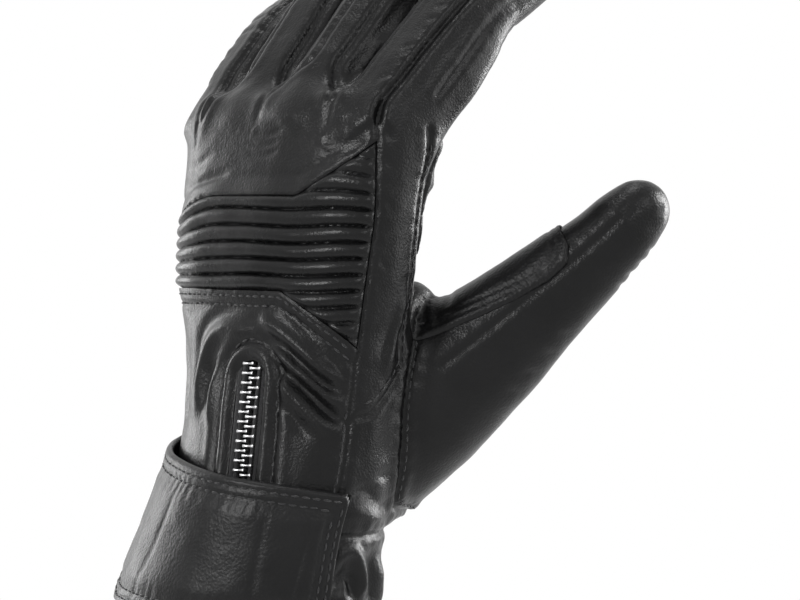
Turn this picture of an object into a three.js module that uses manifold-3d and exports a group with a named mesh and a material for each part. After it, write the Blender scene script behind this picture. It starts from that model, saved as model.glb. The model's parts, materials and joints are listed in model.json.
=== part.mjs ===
// Left riding glove of black leather, shaped as it is on a relaxed hand, in millimetres.
// +Z runs from the cuff to the fingers, +Y to the palm, +X to the thumb side.
// The origin is the centre of the cuff's opening, in the plane of its hem.
import * as THREE from "three";
import { mergeVertices } from "three/addons/utils/BufferGeometryUtils.js";
import Module from "manifold-3d";

const wasm = await Module();
wasm.setup();

// ---- Driving dimensions -------------------------------------------------------------------

const leather = 1.4; // thickness of the outer leather
const lining = 1.3; // thickness of the fleece lining
const clearance = 0.3; // gap that separate pieces keep
const layerGap = 0.5; // gap between leather and lining
const overlay = 1.2; // thickness of a reinforcing patch
const wall = leather + layerGap + lining;

const palmLength = 175; // hem to the crotch between the fingers
const handWidth = 95; // across the hand below the fingers
const wristSeam = 0.32 * palmLength; // height where the cuff is sewn to the hand
const thumbStandsOut = new THREE.Vector3(0.743, 0.669, 0); // level direction that the thumb takes
const thumbHinge = new THREE.Vector3(0.669, -0.743, 0); // level direction across the thumb's bend

const zipTop = 0.629 * palmLength; // height where the slit for the zip ends on the back of the hand
const zipFoot = 9; // height where the zip's tapes end above the hem
const tapeWidth = 11; // width of each tape outside its teeth
const tape = 0.55; // thickness of the tape
const toothPitch = 2.75;
const toothReach = 3.1; // outer end of a tooth from the chain's middle
const toothHook = 0.65; // how far a tooth reaches past the middle
const toothWidth = 1.1; // along the chain
const toothHeight = 2.4;
const sliderLength = 12.5;
const sliderWidth = 8.6;
const zipWindow = sliderWidth + 2; // width of the slit in the leather
const sliderPlate = 1.15;
const sliderParked = 0.155 * palmLength; // height of the slider on the closed zip
const sliderTravel = 0.4 * palmLength;
const tabLength = 17;
const tabWidth = 4.8;

const strapThickness = 2.4;
const hookTape = 1.0; // thickness of the hook and of the loop tape
const strapFrom = 206; // degrees round the wrist: the strap's sewn end and its free end
const strapTo = 346;
const strapRootWidth = 17; // degrees of strap that stay sewn down

// ---- The shape of hand and cuff ------------------------------------------------------------

// Cross-sections from hem to finger crotch. Heights are shares of palmLength; half sizes
// across and through, and the middle, are shares of handWidth. square is the squareness of
// the section and lean its tilt towards the palm in degrees.
const sections = [
  { t: 0, across: 0.542, through: 0.395, square: 2, lean: 0, x: 0 },
  { t: 0.103, across: 0.505, through: 0.368, square: 2, lean: 0, x: 0.026 },
  { t: 0.2, across: 0.463, through: 0.337, square: 2, lean: 0, x: 0.053 },
  { t: 0.32, across: 0.416, through: 0.295, square: 2, lean: 0, x: 0.11 },
  { t: 0.434, across: 0.405, through: 0.284, square: 2, lean: 0, x: 0.149 },
  { t: 0.543, across: 0.41, through: 0.268, square: 2, lean: 0, x: 0.147 },
  { t: 0.64, across: 0.432, through: 0.253, square: 2.05, lean: 0, x: 0.137 },
  { t: 0.743, across: 0.458, through: 0.237, square: 2.15, lean: 0, x: 0.137, y: 0.14 },
  { t: 0.846, across: 0.477, through: 0.216, square: 2.25, lean: 4, x: 0.14, y: 0.154 },
  { t: 0.931, across: 0.49, through: 0.194, square: 2.35, lean: 14, x: 0.141, y: 0.165 },
  { t: 1, across: 0.5, through: 0.168, square: 2.5, lean: 26, x: 0.135, y: 0.177 },
].map(({ t, across, through, square, lean, x, y }) => ({
  t: t * palmLength,
  across: across * handWidth,
  through: through * handWidth,
  square,
  lean,
  x: x * handWidth,
  y: y === undefined ? undefined : y * handWidth,
}));
const straightTo = 0.64 * palmLength; // up to this height the back is straight along the zip

// The straight line of the zip on the outer leather.
const zipLine = (t) =>
  new THREE.Vector3(0.332 * handWidth - 0.08 * t, -0.329 * handWidth + 0.18 * t, t);

// A smooth curve through the sections' values of one key.
function through(key, t, list = sections) {
  let i = 0;
  while (i < list.length - 2 && t > list[i + 1].t) i += 1;
  const slope = (k) => {
    const before = list[Math.max(k - 1, 0)];
    const after = list[Math.min(k + 1, list.length - 1)];
    return (after[key] - before[key]) / (after.t - before.t);
  };
  const [a, b] = [list[i], list[i + 1]];
  const span = b.t - a.t;
  const s = (t - a.t) / span;
  const [s2, s3] = [s * s, s * s * s];
  return (
    a[key] * (2 * s3 - 3 * s2 + 1) +
    slope(i) * span * (s3 - 2 * s2 + s) +
    b[key] * (3 * s2 - 2 * s3) +
    slope(i + 1) * span * (s3 - s2)
  );
}

// Middle of a straight section: it is set so that the zip's line lies on the leather.
function straightMiddle(t) {
  const on = zipLine(t);
  const share = (on.x - through("x", t)) / through("across", t);
  return on.y + through("through", t) * Math.sqrt(1 - share * share);
}
const upperMiddles = [
  { t: straightTo - 4, y: straightMiddle(straightTo - 4) },
  { t: straightTo, y: straightMiddle(straightTo) },
  ...sections.filter((s) => s.y !== undefined),
];
const middleY = (t) => (t <= straightTo ? straightMiddle(t) : through("y", t, upperMiddles));

const toRad = THREE.MathUtils.degToRad;
const power = (value, square) => Math.sign(value) * Math.abs(value) ** (2 / square);

// A point of the hand: u degrees round it (0 thumb side, 90 palm, 180 little-finger side,
// 270 back), at height t, depth d under the outer leather.
function handPoint(u, t, d) {
  const square = through("square", t);
  const lean = toRad(through("lean", t));
  const x = (through("across", t) - d) * power(Math.cos(toRad(u)), square);
  const y = (through("through", t) - d) * power(Math.sin(toRad(u)), square);
  return new THREE.Vector3(
    through("x", t) + x,
    middleY(t) + y * Math.cos(lean),
    t - y * Math.sin(lean),
  );
}

// Degrees round the hand at which the zip's line lies, and the degrees that a width takes there.
function zipAngle(t) {
  const share = (zipLine(t).x - through("x", t)) / through("across", t);
  return 360 - THREE.MathUtils.radToDeg(Math.acos(share));
}
function zipDegrees(t, width) {
  const step = handPoint(zipAngle(t) + 1, t, 0).distanceTo(handPoint(zipAngle(t) - 1, t, 0));
  return (2 * width) / step;
}

// ---- Making solids -------------------------------------------------------------------------

const glove = new THREE.Group();

function finish(hex, roughness, metalness = 0) {
  return new THREE.MeshStandardMaterial({ color: hex, roughness, metalness });
}
const finishes = {
  leather: finish(0x1c1c1e, 0.45),
  padding: finish(0x18181a, 0.5),
  fleece: finish(0x2a2a2c, 0.95),
  tape: finish(0x141415, 0.85),
  metal: finish(0xc9cacc, 0.3, 1),
  hookAndLoop: finish(0x101011, 0.95),
};

function fromTriangles(points, triangles) {
  const geometry = new THREE.BufferGeometry().setFromPoints(points);
  geometry.setIndex(triangles);
  return geometry;
}

// A closed skin of quads: outer(p, q) and inner(p, q) give its two faces for p and q from 0 to 1.
function layer(outer, inner, steps, { loop = false } = {}) {
  const [across, along] = steps;
  const columns = loop ? across : across + 1;
  const points = [];
  for (const face of [outer, inner])
    for (let j = 0; j <= along; j += 1)
      for (let i = 0; i < columns; i += 1) points.push(face(i / across, j / along));
  const triangles = [];
  const half = columns * (along + 1);
  const at = (i, j, inside) => (inside ? half : 0) + j * columns + (i % columns);
  const quad = (a, b, c, d) => triangles.push(a, b, c, a, c, d);
  for (let j = 0; j < along; j += 1)
    for (let i = 0; i < across; i += 1) {
      quad(at(i, j, 0), at(i + 1, j, 0), at(i + 1, j + 1, 0), at(i, j + 1, 0));
      quad(at(i, j, 1), at(i, j + 1, 1), at(i + 1, j + 1, 1), at(i + 1, j, 1));
    }
  for (let i = 0; i < across; i += 1) {
    quad(at(i, 0, 0), at(i, 0, 1), at(i + 1, 0, 1), at(i + 1, 0, 0));
    quad(at(i, along, 0), at(i + 1, along, 0), at(i + 1, along, 1), at(i, along, 1));
  }
  for (let j = 0; !loop && j < along; j += 1) {
    quad(at(0, j, 0), at(0, j + 1, 0), at(0, j + 1, 1), at(0, j, 1));
    quad(at(across, j, 0), at(across, j, 1), at(across, j + 1, 1), at(across, j + 1, 0));
  }
  return fromTriangles(points, triangles);
}

// A closed solid through rings of points, capped at both ends.
function loft(rings) {
  const count = rings[0].length;
  const points = rings.flat();
  const triangles = [];
  for (let j = 0; j < rings.length - 1; j += 1)
    for (let i = 0; i < count; i += 1) {
      const [a, b] = [j * count + i, j * count + ((i + 1) % count)];
      triangles.push(a, b, b + count, a, b + count, a + count);
    }
  for (const [ring, turn] of [[0, true], [rings.length - 1, false]]) {
    const middle = rings[ring].reduce((sum, p) => sum.add(p), new THREE.Vector3());
    points.push(middle.divideScalar(count));
    for (let i = 0; i < count; i += 1) {
      const [a, b] = [ring * count + i, ring * count + ((i + 1) % count)];
      triangles.push(...(turn ? [b, a, points.length - 1] : [a, b, points.length - 1]));
    }
  }
  return fromTriangles(points, triangles);
}

// A geometry as a solid for cutting and joining, with its faces turned outwards.
function solid(geometry) {
  const bare = geometry.index ? geometry.toNonIndexed() : geometry.clone();
  bare.deleteAttribute("normal");
  bare.deleteAttribute("uv");
  const merged = mergeVertices(bare, 1e-4);
  const triVerts = new Uint32Array(merged.index.array);
  const vertProperties = merged.attributes.position.array;
  const build = () => new wasm.Manifold(new wasm.Mesh({ numProp: 3, vertProperties, triVerts }));
  const made = build();
  if (made.volume() > 0) return made;
  for (let i = 0; i < triVerts.length; i += 3)
    [triVerts[i + 1], triVerts[i + 2]] = [triVerts[i + 2], triVerts[i + 1]];
  return build();
}

function geometryOf(manifold) {
  const mesh = manifold.getMesh();
  const points = [];
  for (let i = 0; i < mesh.numVert; i += 1)
    points.push(new THREE.Vector3().fromArray(mesh.vertProperties, i * mesh.numProp));
  return fromTriangles(points, [...mesh.triVerts]);
}

function add(name, shape, finishName, parent = glove) {
  const manifold = shape.isBufferGeometry ? solid(shape) : shape;
  const mesh = new THREE.Mesh(geometryOf(manifold), finishes[finishName]);
  mesh.name = name;
  parent.add(mesh);
  return mesh;
}

// ---- Panels sewn round the hand ------------------------------------------------------------

// A panel between two edges: from and to are degrees round the hand, or give them for a
// height, low and high are heights, or give them for the share across the panel, and depths
// are under the outer leather.
function panel({ from, to, low, high, outer = 0, inner = leather, steps }) {
  const value = (item, ...at) => (typeof item === "function" ? item(...at) : item);
  const face = (depth) => (p, q) => {
    const t = value(low, p) + q * (value(high, p) - value(low, p));
    const u = value(from, t) + p * (value(to, t) - value(from, t));
    return handPoint(u, t, value(depth, p, q));
  };
  return layer(face(outer), face(inner), steps);
}

const handBlank = (d, low, high) => {
  const rings = [];
  const count = 32;
  const steps = Math.max(1, Math.round((high - low) / 9));
  for (let j = 0; j <= steps; j += 1) {
    const t = low + ((high - low) * j) / steps;
    rings.push(Array.from({ length: count }, (_, i) => handPoint((360 * i) / count, t, d)));
  }
  return solid(loft(rings));
};

const ulnarSeam = 190; // degrees: seam down the little-finger side
const backSeam = (t) => 341 - 9 * THREE.MathUtils.smoothstep(t, 0.8 * palmLength, palmLength); // to the index side
const palmSeam = 378; // seam between the index finger's panel and the palm
const cuffSeam = 341; // seam down the thumb side of the cuff
const seamGap = 1.1; // degrees left between two panels
const rowLength = 11; // height of one row of facets
const rows = (low, high) => Math.ceil((high - low) / rowLength);
const crotch = palmLength - clearance;

// The ribbed panel is a band that grows towards the thumb side into a wedge of more ribs.
const ribBand = { low: 0.709 * palmLength, high: 0.854 * palmLength };
const backColumns = 13;
const wedgeStarts = 9 / backColumns; // as a share of the width from the little-finger side
const ribWedge = { low: 0.617 * palmLength, high: 0.934 * palmLength };
const wedge = (p) => Math.max(0, (p - wedgeStarts) / (1 - wedgeStarts));
const ribLow = (p) => ribBand.low + (ribWedge.low - ribBand.low) * wedge(p);
const ribHigh = (p) => ribBand.high + (ribWedge.high - ribBand.high) * wedge(p);
const ribPitch = 4.4;
const ribHeight = 1.5;

// Zip frame: x to the thumb side, y up the zip, z out of the leather.
const zipFrame = new THREE.Group();
const zipUp = zipLine(100).sub(zipLine(0)).normalize();
const zipMiddle = wristSeam;
const zipAcross = handPoint(zipAngle(zipMiddle) + 2, zipMiddle, 0)
  .sub(handPoint(zipAngle(zipMiddle) - 2, zipMiddle, 0))
  .normalize();
const zipOut = zipAcross.clone().cross(zipUp).normalize();
const zipSide = zipUp.clone().cross(zipOut).normalize();
zipFrame.applyMatrix4(new THREE.Matrix4().makeBasis(zipSide, zipUp, zipOut));
zipFrame.position.copy(zipLine(zipMiddle));
zipFrame.updateMatrix();
glove.add(zipFrame);
const alongZip = (t) => (t - zipMiddle) / zipUp.z;

function zipBox(width, from, to, out) {
  const length = alongZip(to) - alongZip(from);
  const box = new THREE.BoxGeometry(width, length, out[1] - out[0]);
  box.translate(0, alongZip(from) + length / 2, (out[0] + out[1]) / 2);
  return solid(box.applyMatrix4(zipFrame.matrix));
}
const leatherSlit = zipBox(zipWindow, -20, zipTop, [-6, 8]);
const liningSlit = zipBox(2 * (toothReach + tapeWidth) + 4, -20, zipTop + 5.5, [-9, 6]);

// ---- Thumb and fingers ---------------------------------------------------------------------

// A digit's frame: origin, along it, across it (its hinge axis) and towards its inside face.
function frameAlong(origin, along, across) {
  const a = along.clone().normalize();
  const s = across.clone().addScaledVector(a, -across.dot(a)).normalize();
  return { origin, along: a, across: s, inward: a.clone().cross(s) };
}
function bent(frame, distance, degrees) {
  const origin = frame.origin.clone().addScaledVector(frame.along, distance);
  const along = frame.along.clone().applyAxisAngle(frame.across, -toRad(degrees));
  return frameAlong(origin, along, frame.across);
}
const inFrame = (frame, x, y, s) =>
  frame.origin
    .clone()
    .addScaledVector(frame.across, x)
    .addScaledVector(frame.inward, y)
    .addScaledVector(frame.along, s);

const digitSides = 12;
const hingeDepth = 3; // a hinge lies this far to the inside of a digit's middle line
function digitRing(frame, s, halfWidth, halfDepth) {
  return Array.from({ length: digitSides }, (_, i) => {
    const angle = (2 * Math.PI * i) / digitSides;
    const square = 2.3;
    const x = halfWidth * power(Math.cos(angle), square);
    const y = halfDepth * power(Math.sin(angle), square);
    return inFrame(frame, x, y, s);
  });
}

// A length of digit at depth d: sizes runs from one end to the other as [s, half width, half
// depth], and a round end closes it at the last one.
function digitBlank(frame, sizes, d, roundEnd) {
  const rings = sizes.map(([s, w, h]) => digitRing(frame, s, w - d, h - d));
  if (roundEnd) {
    const [end, w, h] = sizes[sizes.length - 1];
    for (const degrees of [28, 52, 72]) {
      const shrink = Math.cos(toRad(degrees));
      const s = end + (roundEnd - d) * Math.sin(toRad(degrees));
      rings.push(digitRing(frame, s, (w - d) * shrink, (h - d) * shrink));
    }
  }
  return solid(loft(rings));
}

// Everything of a digit below its hinge line. The piece before ends in a plane that tilts by
// tilt degrees. Towards the back the cut rises by the degrees that the digit can straighten,
// and towards the inside by the degrees it can bend.
function hingeCut(frame, { tilt, straighten, bend }, reach = 60) {
  const foot = hingeDepth * Math.tan(toRad(tilt)) + clearance;
  const outline = new THREE.Shape([
    new THREE.Vector2(hingeDepth - reach, foot + reach * Math.tan(toRad(straighten - tilt))),
    new THREE.Vector2(hingeDepth, foot),
    new THREE.Vector2(hingeDepth + reach, foot + reach * Math.tan(toRad(bend + tilt))),
    new THREE.Vector2(hingeDepth + reach, -reach),
    new THREE.Vector2(hingeDepth - reach, -reach),
  ]);
  const prism = new THREE.ExtrudeGeometry(outline, { depth: 2 * reach, bevelEnabled: false });
  prism.translate(0, 0, -reach);
  const basis = new THREE.Matrix4().makeBasis(frame.inward, frame.along, frame.across);
  basis.setPosition(frame.origin);
  return solid(prism.applyMatrix4(basis));
}
function endCut(frame, distance, lean) {
  const box = new THREE.BoxGeometry(160, 160, 80).translate(0, 0, 40);
  const tilted = bent(frame, distance, lean);
  const basis = new THREE.Matrix4().makeBasis(tilted.across, tilted.inward, tilted.along);
  return solid(box.applyMatrix4(basis.setPosition(tilted.origin)));
}
function halfSpace(frame, side, depth) {
  const box = new THREE.BoxGeometry(200, 100, 200).translate(0, side * (50 + clearance / 2) + depth, 0);
  const basis = new THREE.Matrix4().makeBasis(frame.across, frame.inward, frame.along);
  return solid(box.applyMatrix4(basis.setPosition(frame.origin)));
}

// The size that a straight taper from b to a has 5 mm past a.
function beyond(a, b) {
  const share = 5 / Math.abs(a[0] - b[0]);
  return a.map((value, i) => value + share * (value - b[i]));
}

// One length of digit: leather in a back and a front half, and its lining.
function digitLength(name, { frame, sizes, roundEnd, cuts, seamDepth = 1 }) {
  const trim = (blank) => cuts.reduce((made, cut) => made.subtract(cut), blank);
  const tube = (outer, inner) => {
    const hollow = [beyond(sizes[0], sizes[1]), ...sizes];
    if (!roundEnd) hollow.push(beyond(sizes.at(-1), sizes.at(-2)));
    const core = digitBlank(frame, hollow, inner, roundEnd);
    return trim(digitBlank(frame, sizes, outer, roundEnd).subtract(core));
  };
  const skin = tube(0, leather);
  add(`${name}_back`, skin.intersect(halfSpace(frame, -1, seamDepth)), "leather");
  add(`${name}_front`, skin.intersect(halfSpace(frame, 1, seamDepth)), "leather");
  add(`${name}_lining`, tube(leather + layerGap, wall), "fleece");
}

const joints = {};
const hingeAt = (name, frame) => {
  joints[name] = {
    pos: inFrame(frame, 0, hingeDepth, 0).toArray(),
    axis: frame.across.clone().negate().toArray(),
  };
};

// Fingers stand on the leaning rim of the hand. across and inward place the middle of each on
// the rim; runs is the direction it takes, base and tip are its two lengths. across, width
// and depth are shares of handWidth.
const knuckle = { straighten: 30, bend: 40 };
const middleJoint = { rest: 24, straighten: 20, bend: 45 };
const rimLean = sections.at(-1).lean;
const fingers = [
  { name: "little", across: -0.388, inward: 1.2, width: 0.221, depth: 0.217, base: 31, tip: 33, runs: [-0.06, 0.8, 1] },
  { name: "ring", across: -0.147, inward: -1.8, width: 0.24, depth: 0.236, base: 40, tip: 41, runs: [-0.02, 0.73, 1] },
  { name: "middle", across: 0.107, inward: -2.4, width: 0.248, depth: 0.242, base: 43, tip: 43, runs: [0.05, 0.76, 1] },
  { name: "index", across: 0.362, inward: 2.2, width: 0.24, depth: 0.236, base: 39, tip: 39, runs: [0.15, 0.82, 1] },
].map((finger) => ({
  ...finger,
  across: finger.across * handWidth,
  width: finger.width * handWidth,
  depth: finger.depth * handWidth,
}));
const rimFrame = frameAlong(
  new THREE.Vector3(through("x", palmLength), middleY(palmLength), palmLength),
  new THREE.Vector3(0, Math.sin(toRad(rimLean)), Math.cos(toRad(rimLean))),
  new THREE.Vector3(1, 0, 0),
);
for (const finger of fingers) {
  const splay = Math.abs(finger.runs[0]);
  const foot = inFrame(rimFrame, finger.across, finger.inward, 0.4 + 0.2 * finger.width * splay);
  const base = frameAlong(foot, new THREE.Vector3(...finger.runs), new THREE.Vector3(1, 0, 0));
  const lean = THREE.MathUtils.radToDeg(base.along.angleTo(rimFrame.along));
  const tipStart = bent(base, finger.base, middleJoint.rest / 2);
  const tip = bent(base, finger.base, middleJoint.rest);
  const [w, h] = [finger.width / 2, finger.depth / 2];
  const round = h + 1.5;
  digitLength(`${finger.name}_finger_base`, {
    frame: base,
    sizes: [[-20, w, h], [finger.base + 12, w - 0.6, h - 0.7]],
    cuts: [
      hingeCut(base, { tilt: lean, ...knuckle }),
      endCut(base, finger.base, middleJoint.rest / 2),
    ],
  });
  digitLength(`${finger.name}_finger_tip`, {
    frame: tip,
    sizes: [[-6, w - 0.6, h - 0.7], [finger.tip * 0.45, w - 0.9, h - 1.2], [finger.tip - round, w - 2, h - 2.2]],
    roundEnd: round,
    cuts: [hingeCut(tip, { tilt: middleJoint.rest / 2, ...middleJoint })],
  });
  hingeAt(`${finger.name}_knuckle`, base);
  hingeAt(`${finger.name}_middle_joint`, tipStart);
}

// The thumb's middle line: how far out it stands from the hand's middle, and its height.
const handMiddle = new THREE.Vector3(0.14 * handWidth, 0.154 * handWidth, 0);
const thumbAt = (out, height) =>
  handMiddle.clone().addScaledVector(thumbStandsOut, out * handWidth).setZ(height * palmLength);
const thumbRoot = thumbAt(0.253, 0.474);
const thumbKnuckle = thumbAt(0.558, 0.61);
const thumbMiddle = thumbAt(0.916, 0.779);
const thumbTip = thumbAt(1.037, 0.849);
const thumbBend = { straighten: 18, bend: 15 };
const thumbTipBend = { straighten: 12, bend: 36 };
const rootFrame = frameAlong(thumbRoot, thumbKnuckle.clone().sub(thumbRoot), thumbHinge.clone().negate());
const baseFrame = frameAlong(thumbKnuckle, thumbMiddle.clone().sub(thumbKnuckle), thumbHinge.clone().negate());
const tipFrame = frameAlong(thumbMiddle, thumbTip.clone().sub(thumbMiddle), thumbHinge.clone().negate());
const rootLength = thumbRoot.distanceTo(thumbKnuckle);
const baseLength = thumbKnuckle.distanceTo(thumbMiddle);
const tipLength = thumbMiddle.distanceTo(thumbTip) + 6.5;
const rootSizes = [[-14, 20, 23], [rootLength * 0.45, 18.5, 21.5], [rootLength + 10, 15, 17.6]];
const passage = digitBlank(rootFrame, rootSizes, leather, 0);
const liningPassage = digitBlank(rootFrame, rootSizes, wall, 0);
const turnBetween = (a, b) => THREE.MathUtils.radToDeg(a.along.angleTo(b.along));

const rootHollow = [beyond(rootSizes[0], rootSizes[1]), ...rootSizes, beyond(rootSizes[2], rootSizes[1])];
const rootTrim = endCut(rootFrame, rootLength, 0);
const rootTube = (outer, inner) =>
  digitBlank(rootFrame, rootSizes, outer, 0)
    .subtract(digitBlank(rootFrame, rootHollow, inner, 0))
    .subtract(rootTrim);
add("thumb_root", rootTube(0, leather).subtract(handBlank(-layerGap, wristSeam - 15, palmLength)), "leather");
add(
  "thumb_root_lining",
  rootTube(leather + layerGap, wall).subtract(handBlank(leather, wristSeam - 15, palmLength)),
  "fleece",
);
const thumbTurn = turnBetween(rootFrame, baseFrame);
digitLength("thumb_base", {
  frame: baseFrame,
  sizes: [[-6, 15.2, 18], [baseLength * 0.45, 13.4, 14.6], [baseLength + 8, 11.4, 10.8]],
  cuts: [
    hingeCut(baseFrame, { tilt: thumbTurn, ...thumbBend }),
    endCut(baseFrame, baseLength, 0),
  ],
});
const tipTurn = turnBetween(baseFrame, tipFrame);
digitLength("thumb_tip", {
  frame: tipFrame,
  sizes: [[-6, 11.7, 11.4], [tipLength * 0.4, 11.2, 10.8], [tipLength - 9, 9.6, 9.4]],
  roundEnd: 9,
  cuts: [hingeCut(tipFrame, { tilt: tipTurn, ...thumbTipBend })],
});
hingeAt("thumb_knuckle", baseFrame);
hingeAt("thumb_middle_joint", tipFrame);

// Patch of a second leather on the thumb's inside face, where it grips.
const patchFrom = 9;
const patchFace = (rise) => (p, q) => {
  const s = patchFrom + q * (baseLength - 2 - patchFrom);
  const share = s / baseLength;
  const w = 15 - 3.2 * share;
  const h = 17.4 - 5.6 * share;
  const angle = toRad(38 + 104 * p);
  const x = (w + rise) * power(Math.cos(angle), 2.3);
  const y = (h + rise) * power(Math.sin(angle), 2.3);
  return inFrame(baseFrame, x, y, s);
};
add("thumb_grip_patch", layer(patchFace(clearance + overlay + 0.3), patchFace(clearance + 0.3), [8, 4]), "leather");

// ---- Leather of the hand -------------------------------------------------------------------

add(
  "knuckle_panel",
  panel({
    from: ulnarSeam + seamGap,
    to: backSeam,
    low: (p) => ribHigh(p) + clearance,
    high: crotch,
    steps: [backColumns, 3],
  }),
  "leather",
);

const ribFace = (p, q) => {
  const low = ribLow(p);
  const t = low + q * (ribHigh(p) - low);
  const phase = (t - ribBand.low) / ribPitch;
  const edge = Math.min(1, 8 * p, 8 * (1 - p), 6 * q, 6 * (1 - q));
  return -ribHeight * Math.abs(Math.sin(Math.PI * phase)) * edge;
};
add(
  "ribbed_panel",
  panel({
    from: ulnarSeam + seamGap,
    to: backSeam,
    low: ribLow,
    high: ribHigh,
    outer: ribFace,
    steps: [backColumns, 20],
  }),
  "padding",
);

const wristBack = panel({
  from: ulnarSeam + seamGap,
  to: (t) => backSeam(t) - seamGap,
  low: wristSeam + clearance,
  high: (p) => ribLow(p) - clearance,
  steps: [backColumns, 7],
});
add("wrist_back_panel", solid(wristBack).subtract(leatherSlit), "leather");

const sideFoot = 0.526 * palmLength;
add(
  "index_side_panel",
  solid(panel({
    from: (t) => backSeam(t) + seamGap,
    to: palmSeam - seamGap,
    low: sideFoot,
    high: crotch,
    steps: [7, rows(sideFoot, crotch)],
  })).subtract(passage),
  "leather",
);

add(
  "palm_panel",
  solid(panel({ from: palmSeam, to: ulnarSeam + 360, low: wristSeam + clearance, high: crotch, steps: [18, rows(wristSeam, crotch)] }))
    .add(solid(panel({
      from: cuffSeam + 1 + seamGap,
      to: palmSeam + 1,
      low: wristSeam + clearance,
      high: sideFoot - clearance,
      steps: [5, rows(wristSeam, sideFoot)],
    })))
    .subtract(passage),
  "leather",
);

const over = { outer: -clearance - overlay, inner: -clearance };
add(
  "palm_grip_patch",
  panel({ from: 392, to: 530, low: 0.766 * palmLength, high: crotch - 3, ...over, steps: [14, 4] }),
  "leather",
);

// ---- Cuff ----------------------------------------------------------------------------------

const bindingFlange = 8;
const bindingFold = 1.2;
const cuffLow = bindingFold + clearance;
const cuffBack = solid(panel({
  from: ulnarSeam + seamGap, to: cuffSeam - seamGap, low: cuffLow, high: wristSeam, steps: [18, 6],
})).subtract(leatherSlit);
cuffBack
  .decompose()
  .sort((a, b) => a.boundingBox().min[0] - b.boundingBox().min[0])
  .forEach((half, i) => add(["cuff_back_outer", "cuff_back_inner"][i], half, "leather"));
add("cuff_palm", panel({ from: cuffSeam, to: ulnarSeam + 360, low: cuffLow, high: wristSeam, steps: [18, 5] }), "leather");

// Hem binding: a folded strip with a flange outside, a flange inside and a flat foot.
const foldOut = -clearance - 1;
const foldIn = wall + layerGap + 1;
const profile = [
  [foldOut, 0], [foldOut, bindingFlange], [-clearance, bindingFlange], [-clearance, bindingFold],
  [wall + layerGap, bindingFold], [wall + layerGap, bindingFlange], [foldIn, bindingFlange], [foldIn, 0],
].map(([d, t]) => new THREE.Vector2(d, t));
function sweepRound(section, from, to, steps) {
  const points = [];
  for (let i = 0; i <= steps; i += 1)
    for (const { x: d, y: t } of section) points.push(handPoint(from + ((to - from) * i) / steps, t, d));
  const triangles = [];
  const count = section.length;
  for (let i = 0; i < steps; i += 1)
    for (let k = 0; k < count; k += 1) {
      const [a, b] = [i * count + k, i * count + ((k + 1) % count)];
      triangles.push(a, b, b + count, a, b + count, a + count);
    }
  const last = steps * count;
  for (const [a, b, c] of THREE.ShapeUtils.triangulateShape(section, [])) {
    const turned = THREE.ShapeUtils.isClockWise(section);
    triangles.push(...(turned ? [a, b, c] : [c, b, a]));
    triangles.push(...(turned ? [last + c, last + b, last + a] : [last + a, last + b, last + c]));
  }
  return fromTriangles(points, triangles);
}
const hemGap = zipDegrees(0, zipWindow / 2);
add("hem_binding", sweepRound(profile, zipAngle(0) + hemGap, zipAngle(0) - hemGap + 360, 30), "leather");

// ---- Lining --------------------------------------------------------------------------------

const liningRing = (low, high, steps) =>
  solid(layer(
    (p, q) => handPoint(360 * p, low + q * (high - low), leather + layerGap),
    (p, q) => handPoint(360 * p, low + q * (high - low), wall),
    steps,
    { loop: true },
  )).subtract(liningSlit);
add("cuff_lining", liningRing(cuffLow, wristSeam, [30, 4]), "fleece");
add("hand_lining", liningRing(wristSeam + clearance, crotch, [24, rows(wristSeam, crotch)]).subtract(liningPassage), "fleece");

// Web that closes the hand between the fingers, with a way through into each of them.
const webDepth = wall + layerGap;
const fingerWays = fingers.map((finger) => {
  const foot = inFrame(rimFrame, finger.across, finger.inward, 0);
  const way = frameAlong(foot, rimFrame.along, rimFrame.across);
  const [w, h] = [finger.width / 2 - wall, finger.depth / 2 - wall];
  return digitBlank(way, [[-12, w, h], [12, w, h]], 0, 0);
});
add(
  "finger_web",
  fingerWays.reduce((made, way) => made.subtract(way), handBlank(webDepth, palmLength - 2.2, palmLength)),
  "leather",
);

// ---- Zip -----------------------------------------------------------------------------------

const tapeDepth = leather + layerGap + 0.1;
const chainDepth = -(tapeDepth + tape / 2);
// The tapes are flat where the slider grips them, and from the third column on they follow
// the leather.
const tapeFlat = sliderWidth / 2 - toothReach;
const tapeColumns = [0, tapeFlat, tapeFlat + 1.4, 6, tapeWidth];
for (const [name, side] of [["zip_tape_outer", -1], ["zip_tape_inner", 1]]) {
  const lay = (depth) => (p, q) => {
    const t = zipFoot + q * (zipTop + 4 - zipFoot);
    const column = Math.round(p * (tapeColumns.length - 1));
    const width = toothReach + clearance + tapeColumns[column];
    if (column < 2 && t < zipTop)
      return new THREE.Vector3(side * width, alongZip(t), -depth).applyMatrix4(zipFrame.matrix);
    return handPoint(zipAngle(t) + side * zipDegrees(t, width), t, depth);
  };
  add(name, layer(lay(tapeDepth), lay(tapeDepth + tape), [tapeColumns.length - 1, 10]), "tape");
}

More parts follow.
